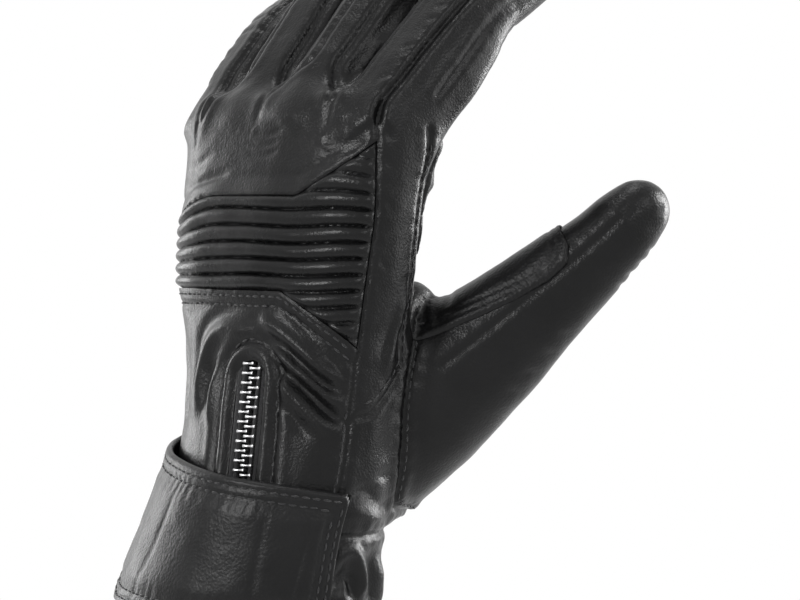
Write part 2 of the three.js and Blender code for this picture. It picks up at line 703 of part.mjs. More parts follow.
// Each row of teeth is clamped on a cord, and ends in a crimped stop at the hem.
const firstTooth = alongZip(sliderParked) - 1.5;
const lastTooth = alongZip(zipTop) - 6;
const cordPast = 2; // the cord runs on past the last tooth
for (const [name, side, shift] of [["zip_teeth_outer", -1, 0], ["zip_teeth_inner", 1, toothPitch / 2]]) {
  const cordFrom = alongZip(zipFoot) + 1;
  const cordWidth = 1.1;
  const cordMiddle = side * (toothReach - cordWidth / 2);
  const block = (size, place) => solid(new THREE.BoxGeometry(...size).translate(...place));
  let row = block(
    [cordWidth, lastTooth + cordPast - cordFrom, 1.3],
    [cordMiddle, (lastTooth + cordPast + cordFrom) / 2, chainDepth],
  );
  for (let y = firstTooth + shift; y < lastTooth; y += toothPitch) {
    const length = toothReach + toothHook;
    row = row.add(block(
      [length, toothWidth, toothHeight],
      [side * (toothReach - length / 2), y, chainDepth],
    ));
  }
  row = row.add(block([1.6, 3.2, toothHeight], [side * (toothReach - 0.8), cordFrom + 2.2, chainDepth]));
  add(name, row, "metal", zipFrame);
}
add(
  "zip_end_stop",
  new THREE.BoxGeometry(2 * toothReach - 0.8, 2.6, toothHeight)
    .translate(0, lastTooth + cordPast + clearance + 1.3, chainDepth),
  "metal",
  zipFrame,
);

// Slider: two plates round the chain, joined by the wedge that parts it, with a bridge on top.
const sliderAt = alongZip(sliderParked);
const plateGap = toothHeight / 2 + 0.35;
const bridge = { under: 1.5, thick: 0.9, width: 2.2, foot: 3.4 };
const plateTop = chainDepth + plateGap + sliderPlate;
const plate = (z) => {
  const outline = new THREE.Shape();
  const [w, l, taper] = [sliderWidth / 2, sliderLength / 2, 1.1];
  outline.moveTo(-w + taper, l).lineTo(w - taper, l).lineTo(w, 0).lineTo(w, -l + 1);
  outline.lineTo(w - 1, -l).lineTo(-w + 1, -l).lineTo(-w, -l + 1).lineTo(-w, 0);
  const made = new THREE.ExtrudeGeometry(outline, { depth: sliderPlate, bevelEnabled: false });
  return solid(made.translate(0, sliderAt, z));
};
const sliderBlock = (size, x, y, z) =>
  solid(new THREE.BoxGeometry(...size).translate(x, sliderAt + y, z));
const lipHeight = plateGap - tape / 2 - clearance;
let slider = plate(chainDepth + plateGap)
  .add(plate(chainDepth - plateGap - sliderPlate))
  .add(sliderBlock([2.2, 3, 2 * plateGap + 0.4], 0, -sliderLength / 2 + 1.8, chainDepth));
for (const side of [-1, 1])
  for (const face of [-1, 1])
    slider = slider.add(sliderBlock(
      [0.7, sliderLength * 0.5, lipHeight + 0.2],
      side * (sliderWidth / 2 - 0.35),
      -1.6,
      chainDepth + face * (plateGap - lipHeight / 2 + 0.1),
    ));
const bridgeTop = plateTop + bridge.under + bridge.thick;
slider = slider.add(sliderBlock(
  [bridge.width, 2 * bridge.foot + 1.6, bridge.thick],
  0,
  0,
  bridgeTop - bridge.thick / 2,
));
for (const end of [-1, 1])
  slider = slider.add(sliderBlock(
    [bridge.width, 0.8, bridge.under + 0.6],
    0,
    end * (bridge.foot + 0.4),
    plateTop + bridge.under / 2 + 0.1,
  ));
add("zip_slider", slider, "metal", zipFrame);

// Pull tab: a loop whose bar lies under the bridge, and a plate that hangs from it.
const bar = 0.9;
const barHeight = plateTop + bridge.under / 2;
const rail = bridge.width / 2 + clearance + 0.4;
const loopLength = 6.2;
const tabBlock = (size, x, y) =>
  solid(new THREE.BoxGeometry(...size).translate(x, sliderAt + y, barHeight));
let tab = tabBlock([2 * rail + 0.8, bar, bar], 0, 0);
for (const side of [-1, 1]) tab = tab.add(tabBlock([0.8, loopLength, bar], side * rail, -loopLength / 2));
const tabOutline = new THREE.Shape();
tabOutline.moveTo(-rail - 0.4, -loopLength + 1).lineTo(rail + 0.4, -loopLength + 1);
tabOutline.lineTo(tabWidth / 2, -loopLength - 3);
tabOutline.absarc(0, -tabLength + tabWidth / 2, tabWidth / 2, 0, -Math.PI, true);
tabOutline.lineTo(-tabWidth / 2, -loopLength - 3);
tab = tab.add(solid(
  new THREE.ExtrudeGeometry(tabOutline, { depth: bar, bevelEnabled: false, curveSegments: 8 })
    .translate(0, sliderAt, barHeight - bar / 2),
));
add("zip_pull_tab", tab, "metal", zipFrame);
const zipPoint = (y, z) => new THREE.Vector3(0, y, z).applyMatrix4(zipFrame.matrix);
joints.zip_slide = { axis: zipUp.toArray() };
joints.tab_swing = { pos: zipPoint(sliderAt, barHeight).toArray(), axis: zipSide.clone().negate().toArray() };

// Guard behind the zip: a pleat of lining whose edges lie on the lining, sunk behind the slider.
const guardHalf = toothReach + tapeWidth + 5.4;
const guardDip = 2.3;
const guard = (depth) => (p, q) => {
  const t = cuffLow + bindingFlange + q * (zipTop + 9 - cuffLow - bindingFlange);
  const side = 2 * p - 1;
  const dip = guardDip * THREE.MathUtils.clamp((0.75 - Math.abs(side)) / 0.35, 0, 1);
  return handPoint(zipAngle(t) + zipDegrees(t, guardHalf) * side, t, depth + dip);
};
add("zip_guard", layer(guard(wall + layerGap), guard(wall + layerGap + 0.8), [10, rows(0, zipTop)]), "fleece");

// ---- Wrist strap ---------------------------------------------------------------------------

// The strap lies slanted round the wrist. It stands off the zip, so that the slider passes.
const strapHigh = (p) => wristSeam + 24.5 - 12.2 * p;
const strapLow = (p) => wristSeam - 9 - 4 * p - 12 * THREE.MathUtils.smoothstep(p, 0, 0.24);
const landing = 2 * clearance + 2 * hookTape + clearance;
const standOff = (u) => {
  const p = (u - strapFrom) / (strapTo - strapFrom);
  const rise = Math.min(1, Math.max(0, p / 0.3));
  const overZip = Math.exp(-(((u - 291) / 26) ** 2));
  return layerGap + rise * (landing - layerGap) + 3.1 * overZip;
};
const strapShape = (from, to, steps, extra = 0, thickness = strapThickness, inset = 0) => {
  const face = (rise) => (p, q) => {
    const u = from + p * (to - from);
    const place = (u - strapFrom) / (strapTo - strapFrom);
    const low = strapLow(place) + inset;
    const t = low + q * (strapHigh(place) - inset - low);
    return handPoint(u, t, -standOff(u) - extra - rise);
  };
  return layer(face(thickness), face(0), steps);
};
const hingeU = strapFrom + 0.4;
add("strap_root", strapShape(strapFrom - strapRootWidth, strapFrom, [3, 3]), "leather");
add("wrist_strap", strapShape(strapFrom + 0.8, strapTo, [20, 4]), "leather");
const hookFrom = strapTo - 26;
add("hook_tape", strapShape(hookFrom, strapTo - 3, [4, 3], -clearance - hookTape, hookTape, 5), "hookAndLoop");
const loopFace = (rise) => (p, q) => {
  const u = hookFrom - 6 + p * (strapTo + 2 - hookFrom);
  const place = (u - strapFrom) / (strapTo - strapFrom);
  const low = strapLow(place) + 4;
  return handPoint(u, low + q * (strapHigh(place) - 4 - low), -clearance - rise);
};
add("loop_tape", layer(loopFace(hookTape), loopFace(0), [5, 3]), "hookAndLoop");
const hingeLow = handPoint(hingeU, strapLow(0), -standOff(strapFrom) - strapThickness);
const hingeHigh = handPoint(hingeU, strapHigh(0), -standOff(strapFrom) - strapThickness);
joints.strap_open = {
  pos: hingeLow.clone().add(hingeHigh).divideScalar(2).toArray(),
  axis: hingeLow.clone().sub(hingeHigh).normalize().toArray(),
};

glove.userData.joints = joints;
export default glove;
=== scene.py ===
import json
import math

import bpy
import numpy as np
from mathutils import Matrix, Vector, noise
from mathutils.bvhtree import BVHTree
from mathutils.kdtree import KDTree


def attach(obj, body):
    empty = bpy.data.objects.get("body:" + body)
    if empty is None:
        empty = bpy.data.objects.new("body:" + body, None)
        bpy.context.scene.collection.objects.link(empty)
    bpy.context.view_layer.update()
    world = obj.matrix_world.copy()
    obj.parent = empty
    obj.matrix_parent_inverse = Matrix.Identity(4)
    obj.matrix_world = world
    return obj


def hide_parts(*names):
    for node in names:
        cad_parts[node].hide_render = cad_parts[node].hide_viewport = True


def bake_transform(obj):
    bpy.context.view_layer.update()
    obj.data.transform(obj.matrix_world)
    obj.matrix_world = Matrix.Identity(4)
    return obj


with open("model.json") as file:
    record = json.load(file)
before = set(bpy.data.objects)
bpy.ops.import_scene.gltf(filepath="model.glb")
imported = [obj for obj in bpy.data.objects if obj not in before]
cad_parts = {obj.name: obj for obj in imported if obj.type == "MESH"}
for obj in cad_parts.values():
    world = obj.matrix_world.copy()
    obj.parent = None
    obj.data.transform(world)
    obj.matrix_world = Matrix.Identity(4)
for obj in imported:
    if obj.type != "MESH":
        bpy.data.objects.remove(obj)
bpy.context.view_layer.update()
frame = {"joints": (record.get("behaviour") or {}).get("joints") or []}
scene = bpy.context.scene
scene.view_settings.view_transform = "Standard"
mm = 0.001  # the glove's sizes below are in millimetres

# ---- Camera, floor and lamps ------------------------------------------------------------------
# The glove stands on its cuff in front of a long lens that looks at the back of the hand from
# the thumb's side. Narrow soft lamps stand beside and behind it on both sides, with weak ones
# above and in front, and the white world lights it evenly.

view_angle = math.radians(50)
view_right = np.array([math.cos(view_angle), math.sin(view_angle), 0])
view_near = np.array([math.sin(view_angle), -math.cos(view_angle), 0])
view_up = np.array([0, 0, 1.0])
view_rise = math.radians(1.5)
lens = 120
view_width = 228.6
aim_right, aim_near, aim_up = 47.7, 12, 121.1
aim = aim_right * view_right + aim_near * view_near + aim_up * view_up
camera_data = bpy.data.cameras.new("camera")
camera_data.lens = lens
camera = bpy.data.objects.new("camera", camera_data)
scene.collection.objects.link(camera)
scene.camera = camera
reach = view_width * lens / camera_data.sensor_width
from_aim = math.cos(view_rise) * view_near + math.sin(view_rise) * view_up
camera.location = mm * (aim + reach * from_aim)


def face_aim(obj):
    """Turns a camera or lamp to look at the middle of the view."""
    obj.rotation_euler = (Vector(mm * aim) - obj.location).to_track_quat("-Z", "Y").to_euler()


face_aim(camera)


def soft_lamp(name, right, near, up, width, height, watts):
    """A rectangular softbox, placed from the middle of the view and turned to face it."""
    data = bpy.data.lights.new(name, "AREA")
    data.shape = "RECTANGLE"
    data.size = width
    data.size_y = height
    data.energy = watts
    lamp = bpy.data.objects.new(name, data)
    scene.collection.objects.link(lamp)
    lamp.location = Vector(mm * aim) + Vector(right * view_right + near * view_near + up * view_up)
    face_aim(lamp)


# metres to the right of the aim, nearer and up from it, the lamp's two sizes, and watts
soft_lamp("lamp_left", -0.56, 0.46, 0.3, 0.09, 0.36, 4.1)
soft_lamp("lamp_left_behind", -0.54, -0.48, 0.04, 0.13, 0.46, 1.7)
soft_lamp("lamp_right", 0.72, 0.04, -0.02, 0.3, 0.2, 0.8)
soft_lamp("lamp_right_above", 0.62, -0.1, 0.34, 0.26, 0.26, 4.2)
soft_lamp("lamp_right_behind", 0.6, -0.4, 0.05, 0.13, 0.5, 5.0)
soft_lamp("lamp_top", -0.1, -0.1, 0.8, 0.4, 0.13, 1.6)
soft_lamp("lamp_front", 0.42, 0.72, 0.5, 0.1, 0.2, 1.4)


def start_nodes(owner):
    """Empties the node tree of a world or material, so that node() and wires fill it next."""
    global wires, shades
    owner.use_nodes = True
    wires, shades = owner.node_tree.links, owner.node_tree.nodes
    shades.clear()
    return owner


scene.world = start_nodes(bpy.data.worlds.new("studio"))


def node(kind, **values):
    """A node of the tree that is being wired, with its inputs set by name."""
    made = shades.new(kind)
    for key, value in values.items():
        if key in made.inputs:
            made.inputs[key].default_value = value
        else:
            setattr(made, key, value)
    return made


def seen_share():
    """1 for the rays that see the backdrop itself or mirror it, and 0 for those that light."""
    rays = node("ShaderNodeLightPath")
    share = rays.outputs["Is Camera Ray"]
    for name in ("Is Glossy Ray", "Is Transmission Ray"):
        larger = node("ShaderNodeMath", operation="MAXIMUM")
        wires.new(share, larger.inputs[0])
        wires.new(rays.outputs[name], larger.inputs[1])
        share = larger.outputs[0]
    return share


white = (1, 1, 1, 1)
even_light = 0.37
lit = node("ShaderNodeBackground", Color=white, Strength=even_light)
seen = node("ShaderNodeBackground", Color=white, Strength=1.0)
mixed = node("ShaderNodeMixShader")
wires.new(seen_share(), mixed.inputs[0])
wires.new(lit.outputs[0], mixed.inputs[1])
wires.new(seen.outputs[0], mixed.inputs[2])
wires.new(mixed.outputs[0], node("ShaderNodeOutputWorld").inputs[0])

bpy.ops.mesh.primitive_circle_add(vertices=96, radius=1.6, fill_type="NGON", location=(0.02, 0.02, 0))
floor = bpy.context.object
floor.name = "floor"
floor_paint = start_nodes(bpy.data.materials.new("floor_paint"))
shadow_to, white_from = 0.10, 0.23  # the floor turns white between these distances
shadow_share = 0.3
place = node("ShaderNodeTexCoord")
far = node("ShaderNodeVectorMath", operation="LENGTH")
wires.new(place.outputs["Object"], far.inputs[0])
fade = node("ShaderNodeMapRange", interpolation_type="SMOOTHSTEP")
fade.inputs["From Min"].default_value = shadow_to
fade.inputs["From Max"].default_value = white_from
fade.inputs["To Min"].default_value = shadow_share
wires.new(far.outputs["Value"], fade.inputs["Value"])
share = node("ShaderNodeMath", operation="MULTIPLY")
wires.new(fade.outputs["Result"], share.inputs[0])
wires.new(seen_share(), share.inputs[1])
paint = node("ShaderNodeBsdfDiffuse", Color=(0.9, 0.9, 0.9, 1))
glow = node("ShaderNodeEmission", Color=white, Strength=1.0)
mixed = node("ShaderNodeMixShader")
wires.new(share.outputs[0], mixed.inputs[0])
wires.new(paint.outputs[0], mixed.inputs[1])
wires.new(glow.outputs[0], mixed.inputs[2])
wires.new(mixed.outputs[0], node("ShaderNodeOutputMaterial").inputs[0])
floor.data.materials.append(floor_paint)

# ---- Black leather ----------------------------------------------------------------------------
# Full-grain sheepskin, dyed black and waxed to a soft shine. The grain is small pebbles with
# finer pores between them, and the wax lies unevenly, so that it is duller in patches.


def tinted(source, colour, dark, light, low=0.0, high=1.0):
    """A colour that a pattern takes from dark to light times itself, between low and high."""
    tint = node("ShaderNodeValToRGB")
    for end, at, share in zip(tint.color_ramp.elements, (low, high), (dark, light)):
        end.position = at
        end.color = (*[share * c for c in colour], 1)
    wires.new(source, tint.inputs[0])
    return tint.outputs[0]


def spread_over(source, low, high):
    """A pattern stretched to run from low to high."""
    spread = node("ShaderNodeMapRange")
    spread.inputs["To Min"].default_value = low
    spread.inputs["To Max"].default_value = high
    wires.new(source, spread.inputs["Value"])
    return spread.outputs[0]


def bumped(source, height, strength, under=None):
    """The normal of bumps height millimetres high, laid over the bumps under them."""
    bump = node("ShaderNodeBump", Strength=strength, Distance=abs(height) * mm)
    bump.invert = height < 0
    wires.new(source, bump.inputs["Height"])
    if under is not None:
        wires.new(under, bump.inputs["Normal"])
    return bump.outputs[0]


def leather_finish(name, colour, roughness, grain, pebble=1500):
    """Leather of one colour, with its grain as bumps grain millimetres high."""
    material = start_nodes(bpy.data.materials.new(name))
    place = node("ShaderNodeTexCoord").outputs["Object"]
    skin = node("ShaderNodeBsdfPrincipled")
    skin.inputs["Specular IOR Level"].default_value = 0.2
    cells = node("ShaderNodeTexVoronoi", feature="SMOOTH_F1", Scale=pebble, Smoothness=0.6)
    pores = node("ShaderNodeTexNoise", Scale=5200, Detail=3.0, Roughness=0.6)
    creases = node("ShaderNodeTexNoise", Scale=420, Detail=6.0, Roughness=0.62, Distortion=0.6)
    patches = node("ShaderNodeTexNoise", Scale=55, Detail=4.0, Roughness=0.6)
    for texture in (cells, pores, creases, patches):
        wires.new(place, texture.inputs["Vector"])
    waxed = patches.outputs["Fac"]
    wires.new(tinted(waxed, colour, 0.72, 1.35, 0.3, 0.72), skin.inputs["Base Color"])
    wires.new(spread_over(waxed, roughness - 0.07, roughness + 0.1), skin.inputs["Roughness"])
    normal = bumped(creases.outputs["Fac"], 1.1 * grain, 1.0)
    normal = bumped(cells.outputs["Distance"], -0.75 * grain, 1.0, normal)
    normal = bumped(pores.outputs["Fac"], 0.3 * grain, 1.0, normal)
    wires.new(normal, skin.inputs["Normal"])
    wires.new(skin.outputs[0], node("ShaderNodeOutputMaterial").inputs[0])
    return material


black = (0.0042, 0.0042, 0.0044)
hide = leather_finish("black_leather", black, 0.29, 0.1)
padded_hide = leather_finish("ribbed_leather", [0.9 * c for c in black], 0.26, 0.07)
patch_hide = leather_finish("patch_leather", [1.2 * c for c in black], 0.34, 0.12, pebble=1150)

# ---- The hand's shape -------------------------------------------------------------------------
# The hand and cuff are one closed form, given by its cross-sections from the hem to the crotch
# between the fingers. Points on it are found by degrees round it, height, and depth.

palm_length = 175
hand_width = 95
wrist = 0.32 * palm_length
leather = 1.4
lining = 1.3
layer_gap = 0.5
# height, half width, half thickness, middle: shares of the two sizes; squareness, lean
sections = np.array([
    [0, 0.542, 0.395, 2, 0, 0],
    [0.103, 0.505, 0.368, 2, 0, 0.026],
    [0.2, 0.463, 0.337, 2, 0, 0.053],
    [0.32, 0.416, 0.295, 2, 0, 0.11],
    [0.434, 0.405, 0.284, 2, 0, 0.149],
    [0.543, 0.41, 0.268, 2, 0, 0.147],
    [0.64, 0.432, 0.253, 2.05, 0, 0.137],
    [0.743, 0.458, 0.237, 2.15, 0, 0.137],
    [0.846, 0.477, 0.216, 2.25, 4, 0.14],
    [0.931, 0.49, 0.194, 2.35, 14, 0.141],
    [1, 0.5, 0.168, 2.5, 26, 0.135],
]) * [palm_length, hand_width, hand_width, 1, 1, hand_width]
straight_to = 0.64 * palm_length


def through(heights, values, at):
    """The smooth curve through the values at the heights, read at other heights."""
    slopes = np.gradient(values, heights)
    slopes[1:-1] = (values[2:] - values[:-2]) / (heights[2:] - heights[:-2])
    i = np.clip(np.searchsorted(heights, at) - 1, 0, len(heights) - 2)
    span = heights[i + 1] - heights[i]
    s = (at - heights[i]) / span
    return (
        values[i] * (2 * s**3 - 3 * s**2 + 1)
        + slopes[i] * span * (s**3 - 2 * s**2 + s)
        + values[i + 1] * (3 * s**2 - 2 * s**3)
        + slopes[i + 1] * span * (s**3 - s**2)
    )


def section(column, t):
    return through(sections[:, 0], sections[:, column], t)


def zip_line(t):
    """The straight line of the zip on the back of the wrist."""
    return np.stack([0.332 * hand_width - 0.08 * t, -0.329 * hand_width + 0.18 * t, t], -1)


def straight_middle(t):
    on = zip_line(t)
    share = (on[..., 0] - section(5, t)) / section(1, t)
    return on[..., 1] + section(2, t) * np.sqrt(np.clip(1 - share**2, 0, 1))


upper_heights = np.array([straight_to - 4, straight_to, *sections[7:, 0]])
bent_middles = hand_width * np.array([0.14, 0.154, 0.165, 0.177])
upper_middles = np.array([*straight_middle(upper_heights[:2]), *bent_middles])


def middle(t):
    return np.where(t <= straight_to, straight_middle(t), through(upper_heights, upper_middles, t))


def rounded(value, square):
    return np.sign(value) * np.abs(value) ** (2 / square)


def hand_point(u, t, depth=0.0):
    """Points u degrees round the hand (0 thumb side, 90 palm, 270 back) at height t."""
    u, t, depth = np.broadcast_arrays(np.asarray(u, float), np.asarray(t, float), depth)
    square = section(3, t)
    lean = np.radians(section(4, t))
    x = (section(1, t) - depth) * rounded(np.cos(np.radians(u)), square)
    y = (section(2, t) - depth) * rounded(np.sin(np.radians(u)), square)
    return np.stack([section(5, t) + x, middle(t) + y * np.cos(lean), t - y * np.sin(lean)], -1)


def zip_angle(t):
    return 360 - np.degrees(np.arccos((zip_line(t)[..., 0] - section(5, t)) / section(1, t)))


def degrees_for(u, t, width):
    """The degrees that a width takes round the hand."""
    step = np.linalg.norm(hand_point(u + 1, t) - hand_point(u - 1, t), axis=-1)
    return 2 * width / step


def smoothstep(value, low=0.0, high=1.0):
    s = np.clip((value - low) / (high - low), 0, 1)
    return s * s * (3 - 2 * s)


# ---- Fingers and thumb ------------------------------------------------------------------------
# Each digit is a tapering tube with a round end along a line that bends at its middle joint.
# The lines start from the knuckle joints of the frame, so the leather bends where they turn.

joint_at = {j["name"]: np.array(j["pos_m"]) / mm for j in frame["joints"] if "pos_m" in j}
hinge_depth = 3  # the hinges lie this far to the inside of a digit's middle line


def unit(v):
    return v / np.linalg.norm(v, axis=-1, keepdims=True)


def digit_line(foot, along, across, turns, sizes, length, round_end):
    """A digit's middle line with its half sizes at steps of about a millimetre."""
    s = np.arange(sizes[0][0], length - 0.2, 0.8)
    s = np.append(s, length - np.array([0.15, 0.02]))
    turn = sum(math.radians(degrees) * smoothstep(s, at - 9, at + 9) for at, degrees in turns)
    along = unit(np.array(along, float))
    across = unit(across - along * (across @ along))
    inward = np.cross(along, across)
    steps = np.cos(turn)[:, None] * along + np.sin(turn)[:, None] * inward
    gaps = np.diff(s, prepend=s[0])[:, None]
    line = np.cumsum(gaps * steps, 0)
    line = foot + line - line[np.argmin(np.abs(s))]
    table = np.array(sizes)
    dome = np.sqrt(np.clip(1 - np.clip((s - length + round_end) / round_end, 0, 1) ** 2, 1e-4, 1))
    return {
        "s": s,
        "line": line,
        "along": steps,
        "across": across,
        "inward": np.cross(steps, across),
        "wide": np.interp(s, table[:, 0], table[:, 1]) * dome,
        "deep": np.interp(s, table[:, 0], table[:, 2]) * dome,
        "length": length,
    }


digit_square = 2.3


def digit_point(digit, angle, s, depth=0.0):
    """Points on a digit at an angle (90 inside, 270 back) and a distance s along it."""
    angle, s = np.broadcast_arrays(np.radians(angle), np.asarray(s, float))
    read = {key: np.stack([np.interp(s, digit["s"], column) for column in digit[key].T], -1)
            for key in ("line", "inward")}
    x = (np.interp(s, digit["s"], digit["wide"]) - depth) * rounded(np.cos(angle), digit_square)
    y = (np.interp(s, digit["s"], digit["deep"]) - depth) * rounded(np.sin(angle), digit_square)
    return read["line"] + x[..., None] * digit["across"] + y[..., None] * read["inward"]


# half width, half thickness, base length, tip length and the direction that each finger takes
finger_table = {
    "little": (10.9, 11.4, 31, 33, (-0.06, 0.8, 1)),
    "ring": (11.4, 11.2, 40, 41, (-0.02, 0.73, 1)),
    "middle": (11.8, 11.5, 43, 43, (0.05, 0.76, 1)),
    "index": (11.4, 11.2, 39, 39, (0.15, 0.82, 1)),
}
digits = {}
for name, (wide, deep, base, tip, runs) in finger_table.items():
    along = unit(np.array(runs))
    across = unit(np.array([1.0, 0, 0]) - along * along[0])
    foot = joint_at[name + "_knuckle"] - hinge_depth * np.cross(along, across)
    round_end = deep + 1.5
    sizes = [
        [-14, wide, deep + 1.2],
        [6, wide, deep + 1.2],
        [22, wide + 0.3, deep + 0.4],
        [base, wide, deep],
        [base + 0.45 * tip, wide - 0.4, deep - 0.7],
        [base + tip - round_end, wide - 1.7, deep - 1.9],
    ]
    digits[name] = digit_line(foot, along, across, [(base, 24)], sizes, base + tip, round_end)
    digits[name]["joint"] = base

thumb_out = np.array([0.743, 0.669, 0])
thumb_across = np.array([-0.669, 0.743, 0])


def thumb_point(out, height):
    """A point of the thumb's middle line: how far it stands out from the hand, and its height."""
    start = np.array([0.14 * hand_width, 0.154 * hand_width, 0])
    return start + out * hand_width * thumb_out + height * palm_length * view_up


thumb_places = (0.253, 0.474), (0.558, 0.61), (0.916, 0.779), (1.037, 0.849)
thumb_stops = [thumb_point(*place) for place in thumb_places]
root, base, tip = (float(np.linalg.norm(b - a)) for a, b in zip(thumb_stops, thumb_stops[1:]))
rises = [math.degrees(math.asin(unit(b - a)[2])) for a, b in zip(thumb_stops, thumb_stops[1:])]
thumb_knuckle = root
thumb_joint = root + base
thumb_length = root + base + tip + 6.5
digits["thumb"] = digit_line(
    thumb_stops[0],
    thumb_stops[1] - thumb_stops[0],
    thumb_across,
    [(thumb_knuckle, rises[1] - rises[0]), (thumb_joint, rises[2] - rises[1])],
    [
        [-14, 20, 23],
        [0.45 * root, 18.5, 21.5],
        [root, 15.4, 18.2],
        [root + 0.45 * base, 13.4, 14.6],
        [thumb_joint, 11.7, 11.4],
        [thumb_joint + 9, 11.2, 10.8],
        [thumb_length - 9, 9.6, 9.4],
    ],
    thumb_length,
    9,
)

# ---- The skin before it is cut ----------------------------------------------------------------
# The leather is shaped as one closed skin over hand, fingers and thumb, and the panels are cut
# out of it afterwards, so that neighbours meet exactly. The forms are joined by a remesh, and
# the crotches between them are smoothed wide.


def lofted(rings):
    """A closed tube of quads through rings of points, with a fan at both ends."""
    count = rings.shape[1]
    points = [*rings.reshape(-1, 3), rings[0].mean(0), rings[-1].mean(0)]
    faces = []
    for j in range(len(rings) - 1):
        for i in range(count):
            a, b = j * count + i, j * count + (i + 1) % count
            faces.append((a, b, b + count, a + count))
    last = (len(rings) - 1) * count
    for i in range(count):
        faces.append(((i + 1) % count, i, len(points) - 2))
        faces.append((last + i, last + (i + 1) % count, len(points) - 1))
    return np.array(points), faces


def new_object(name, points, faces):
    """A mesh object at the origin, from points in millimetres."""
    mesh = bpy.data.meshes.new(name)
    mesh.from_pydata((np.asarray(points) * mm).tolist(), [], faces)
    made = bpy.data.objects.new(name, mesh)
    scene.collection.objects.link(made)
    return made


def only(obj):
    """Selects one object and makes it active, with everything else deselected."""
    bpy.ops.object.select_all(action="DESELECT")
    obj.select_set(True)
    bpy.context.view_layer.objects.active = obj


def finish_with(obj, kind, **values):
    """Adds a modifier and applies it."""
    only(obj)
    modifier = obj.modifiers.new(kind.lower(), kind)
    for key, value in values.items():
        setattr(modifier, key, value)
    bpy.ops.object.modifier_apply(modifier=modifier.name)


def arrays(obj):
    """An object's points in millimetres and its quads."""
    points = np.zeros(len(obj.data.vertices) * 3)
    obj.data.vertices.foreach_get("co", points)
    corners = np.zeros(len(obj.data.loops), int)
    obj.data.loops.foreach_get("vertex_index", corners)
    return points.reshape(-1, 3) / mm, corners.reshape(-1, 4)


forms = []
around = np.arange(0, 360, 3)
up = np.linspace(0, palm_length, 90)


def hump(off, width):
    """A rounded rise: 1 where off is 0, and almost nothing beyond twice the width."""
    return np.exp(-((off / width) ** 2))


def angle_off(angle, middle_angle):
    return (angle - middle_angle + 180) % 360 - 180


# The worn leather is fuller than the hand under the little finger and beside the index finger.
little_side, index_side_of_hand, index_side_of_finger = 228, 48, 45
below_little = (smoothstep(up, 100, 126) * smoothstep(182 - up, 0, 16))[:, None]
slack = 2.8 * hump(angle_off(around[None], little_side), 34) * below_little
index_slack = hump(angle_off(around[None], index_side_of_hand), 24)
slack = slack + 5.0 * index_slack * smoothstep(up, 152, 170)[:, None]
forms.append(lofted(hand_point(around[None], up[:, None], -slack)))
angles = np.arange(0, 360, 7.5)[None]
for name, digit in digits.items():
    s = digit["s"][:, None]
    slack = 0 * s
    if name == "index":
        slack = 5.2 * hump(angle_off(angles, index_side_of_finger), 35) * smoothstep(62 - s, 0, 45)
    forms.append(lofted(digit_point(digit, angles, s, -slack)))

# The web between index finger and thumb is a flat tube round the hollow of the crotch.
hollow = thumb_point(0, 0) + 42.7 * thumb_out + 129.7 * view_up
bow = np.radians(np.linspace(168, 312, 14))[:, None]
turn = np.radians(around)[None]
spoke = np.cos(bow)[..., None] * thumb_out + np.sin(bow)[..., None] * view_up
bend = 15.5 + 4.2 * smoothstep(np.radians(214) - bow, 0, np.radians(32))
web = hollow + (bend + 6 * np.cos(turn))[..., None] * spoke + 8.5 * np.sin(turn)[..., None] * thumb_across
forms.append(lofted(web))
points, faces, count = [], [], 0
for form_points, form_faces in forms:
    points.extend(form_points)
    faces.extend([tuple(i + count for i in face) for face in form_faces])
    count += len(form_points)
blank = new_object("blank", points, faces)
skin_step = 1.6
finish_with(blank, "REMESH", mode="VOXEL", voxel_size=skin_step * mm)


def edges_of(faces):
    corners = faces.shape[1]
    pairs = np.concatenate([faces[:, [k, (k + 1) % corners]] for k in range(corners)])
    return np.unique(np.sort(pairs, 1), axis=0)


def smoothed(points, edges, share, rounds):
    """Each point moves by its share towards the middle of its neighbours, rounds times."""
    count = np.bincount(edges.ravel(), minlength=len(points))[:, None]
    for _ in range(rounds):
        total = np.zeros_like(points)
        for k in range(3):
            total[:, k] += np.bincount(edges[:, 0], points[edges[:, 1], k], len(points))
            total[:, k] += np.bincount(edges[:, 1], points[edges[:, 0], k], len(points))
        points = points + share * (total / count - points)
    return points


def search_tree(points):
    """A tree that finds the nearest of these points."""
    tree = KDTree(len(points))
    for i, p in enumerate(points):
        tree.insert(p, i)
    tree.balance()
    return tree


def digit_place(digit, points):
    """Where points lie along and around a digit: s, across, inward, and their distance outside it."""
    tree = search_tree(digit["line"])
    nearest = np.array([tree.find(p)[1] for p in points])
    off = points - digit["line"][nearest]
    s = digit["s"][nearest] + (off * digit["along"][nearest]).sum(1)
    x = off @ digit["across"]
    y = (off * digit["inward"][nearest]).sum(1)
    wide, deep = digit["wide"][nearest], digit["deep"][nearest]
    ratio = (np.abs(x / wide) ** digit_square + np.abs(y / deep) ** digit_square) ** (1 / digit_square)
    return s, x, y, (ratio - 1) * np.minimum(wide, deep)


rim_lean = math.radians(26)
rim_up = np.array([0, math.sin(rim_lean), math.cos(rim_lean)])
rim = hand_point(270, palm_length) * 0.5 + hand_point(90, palm_length) * 0.5

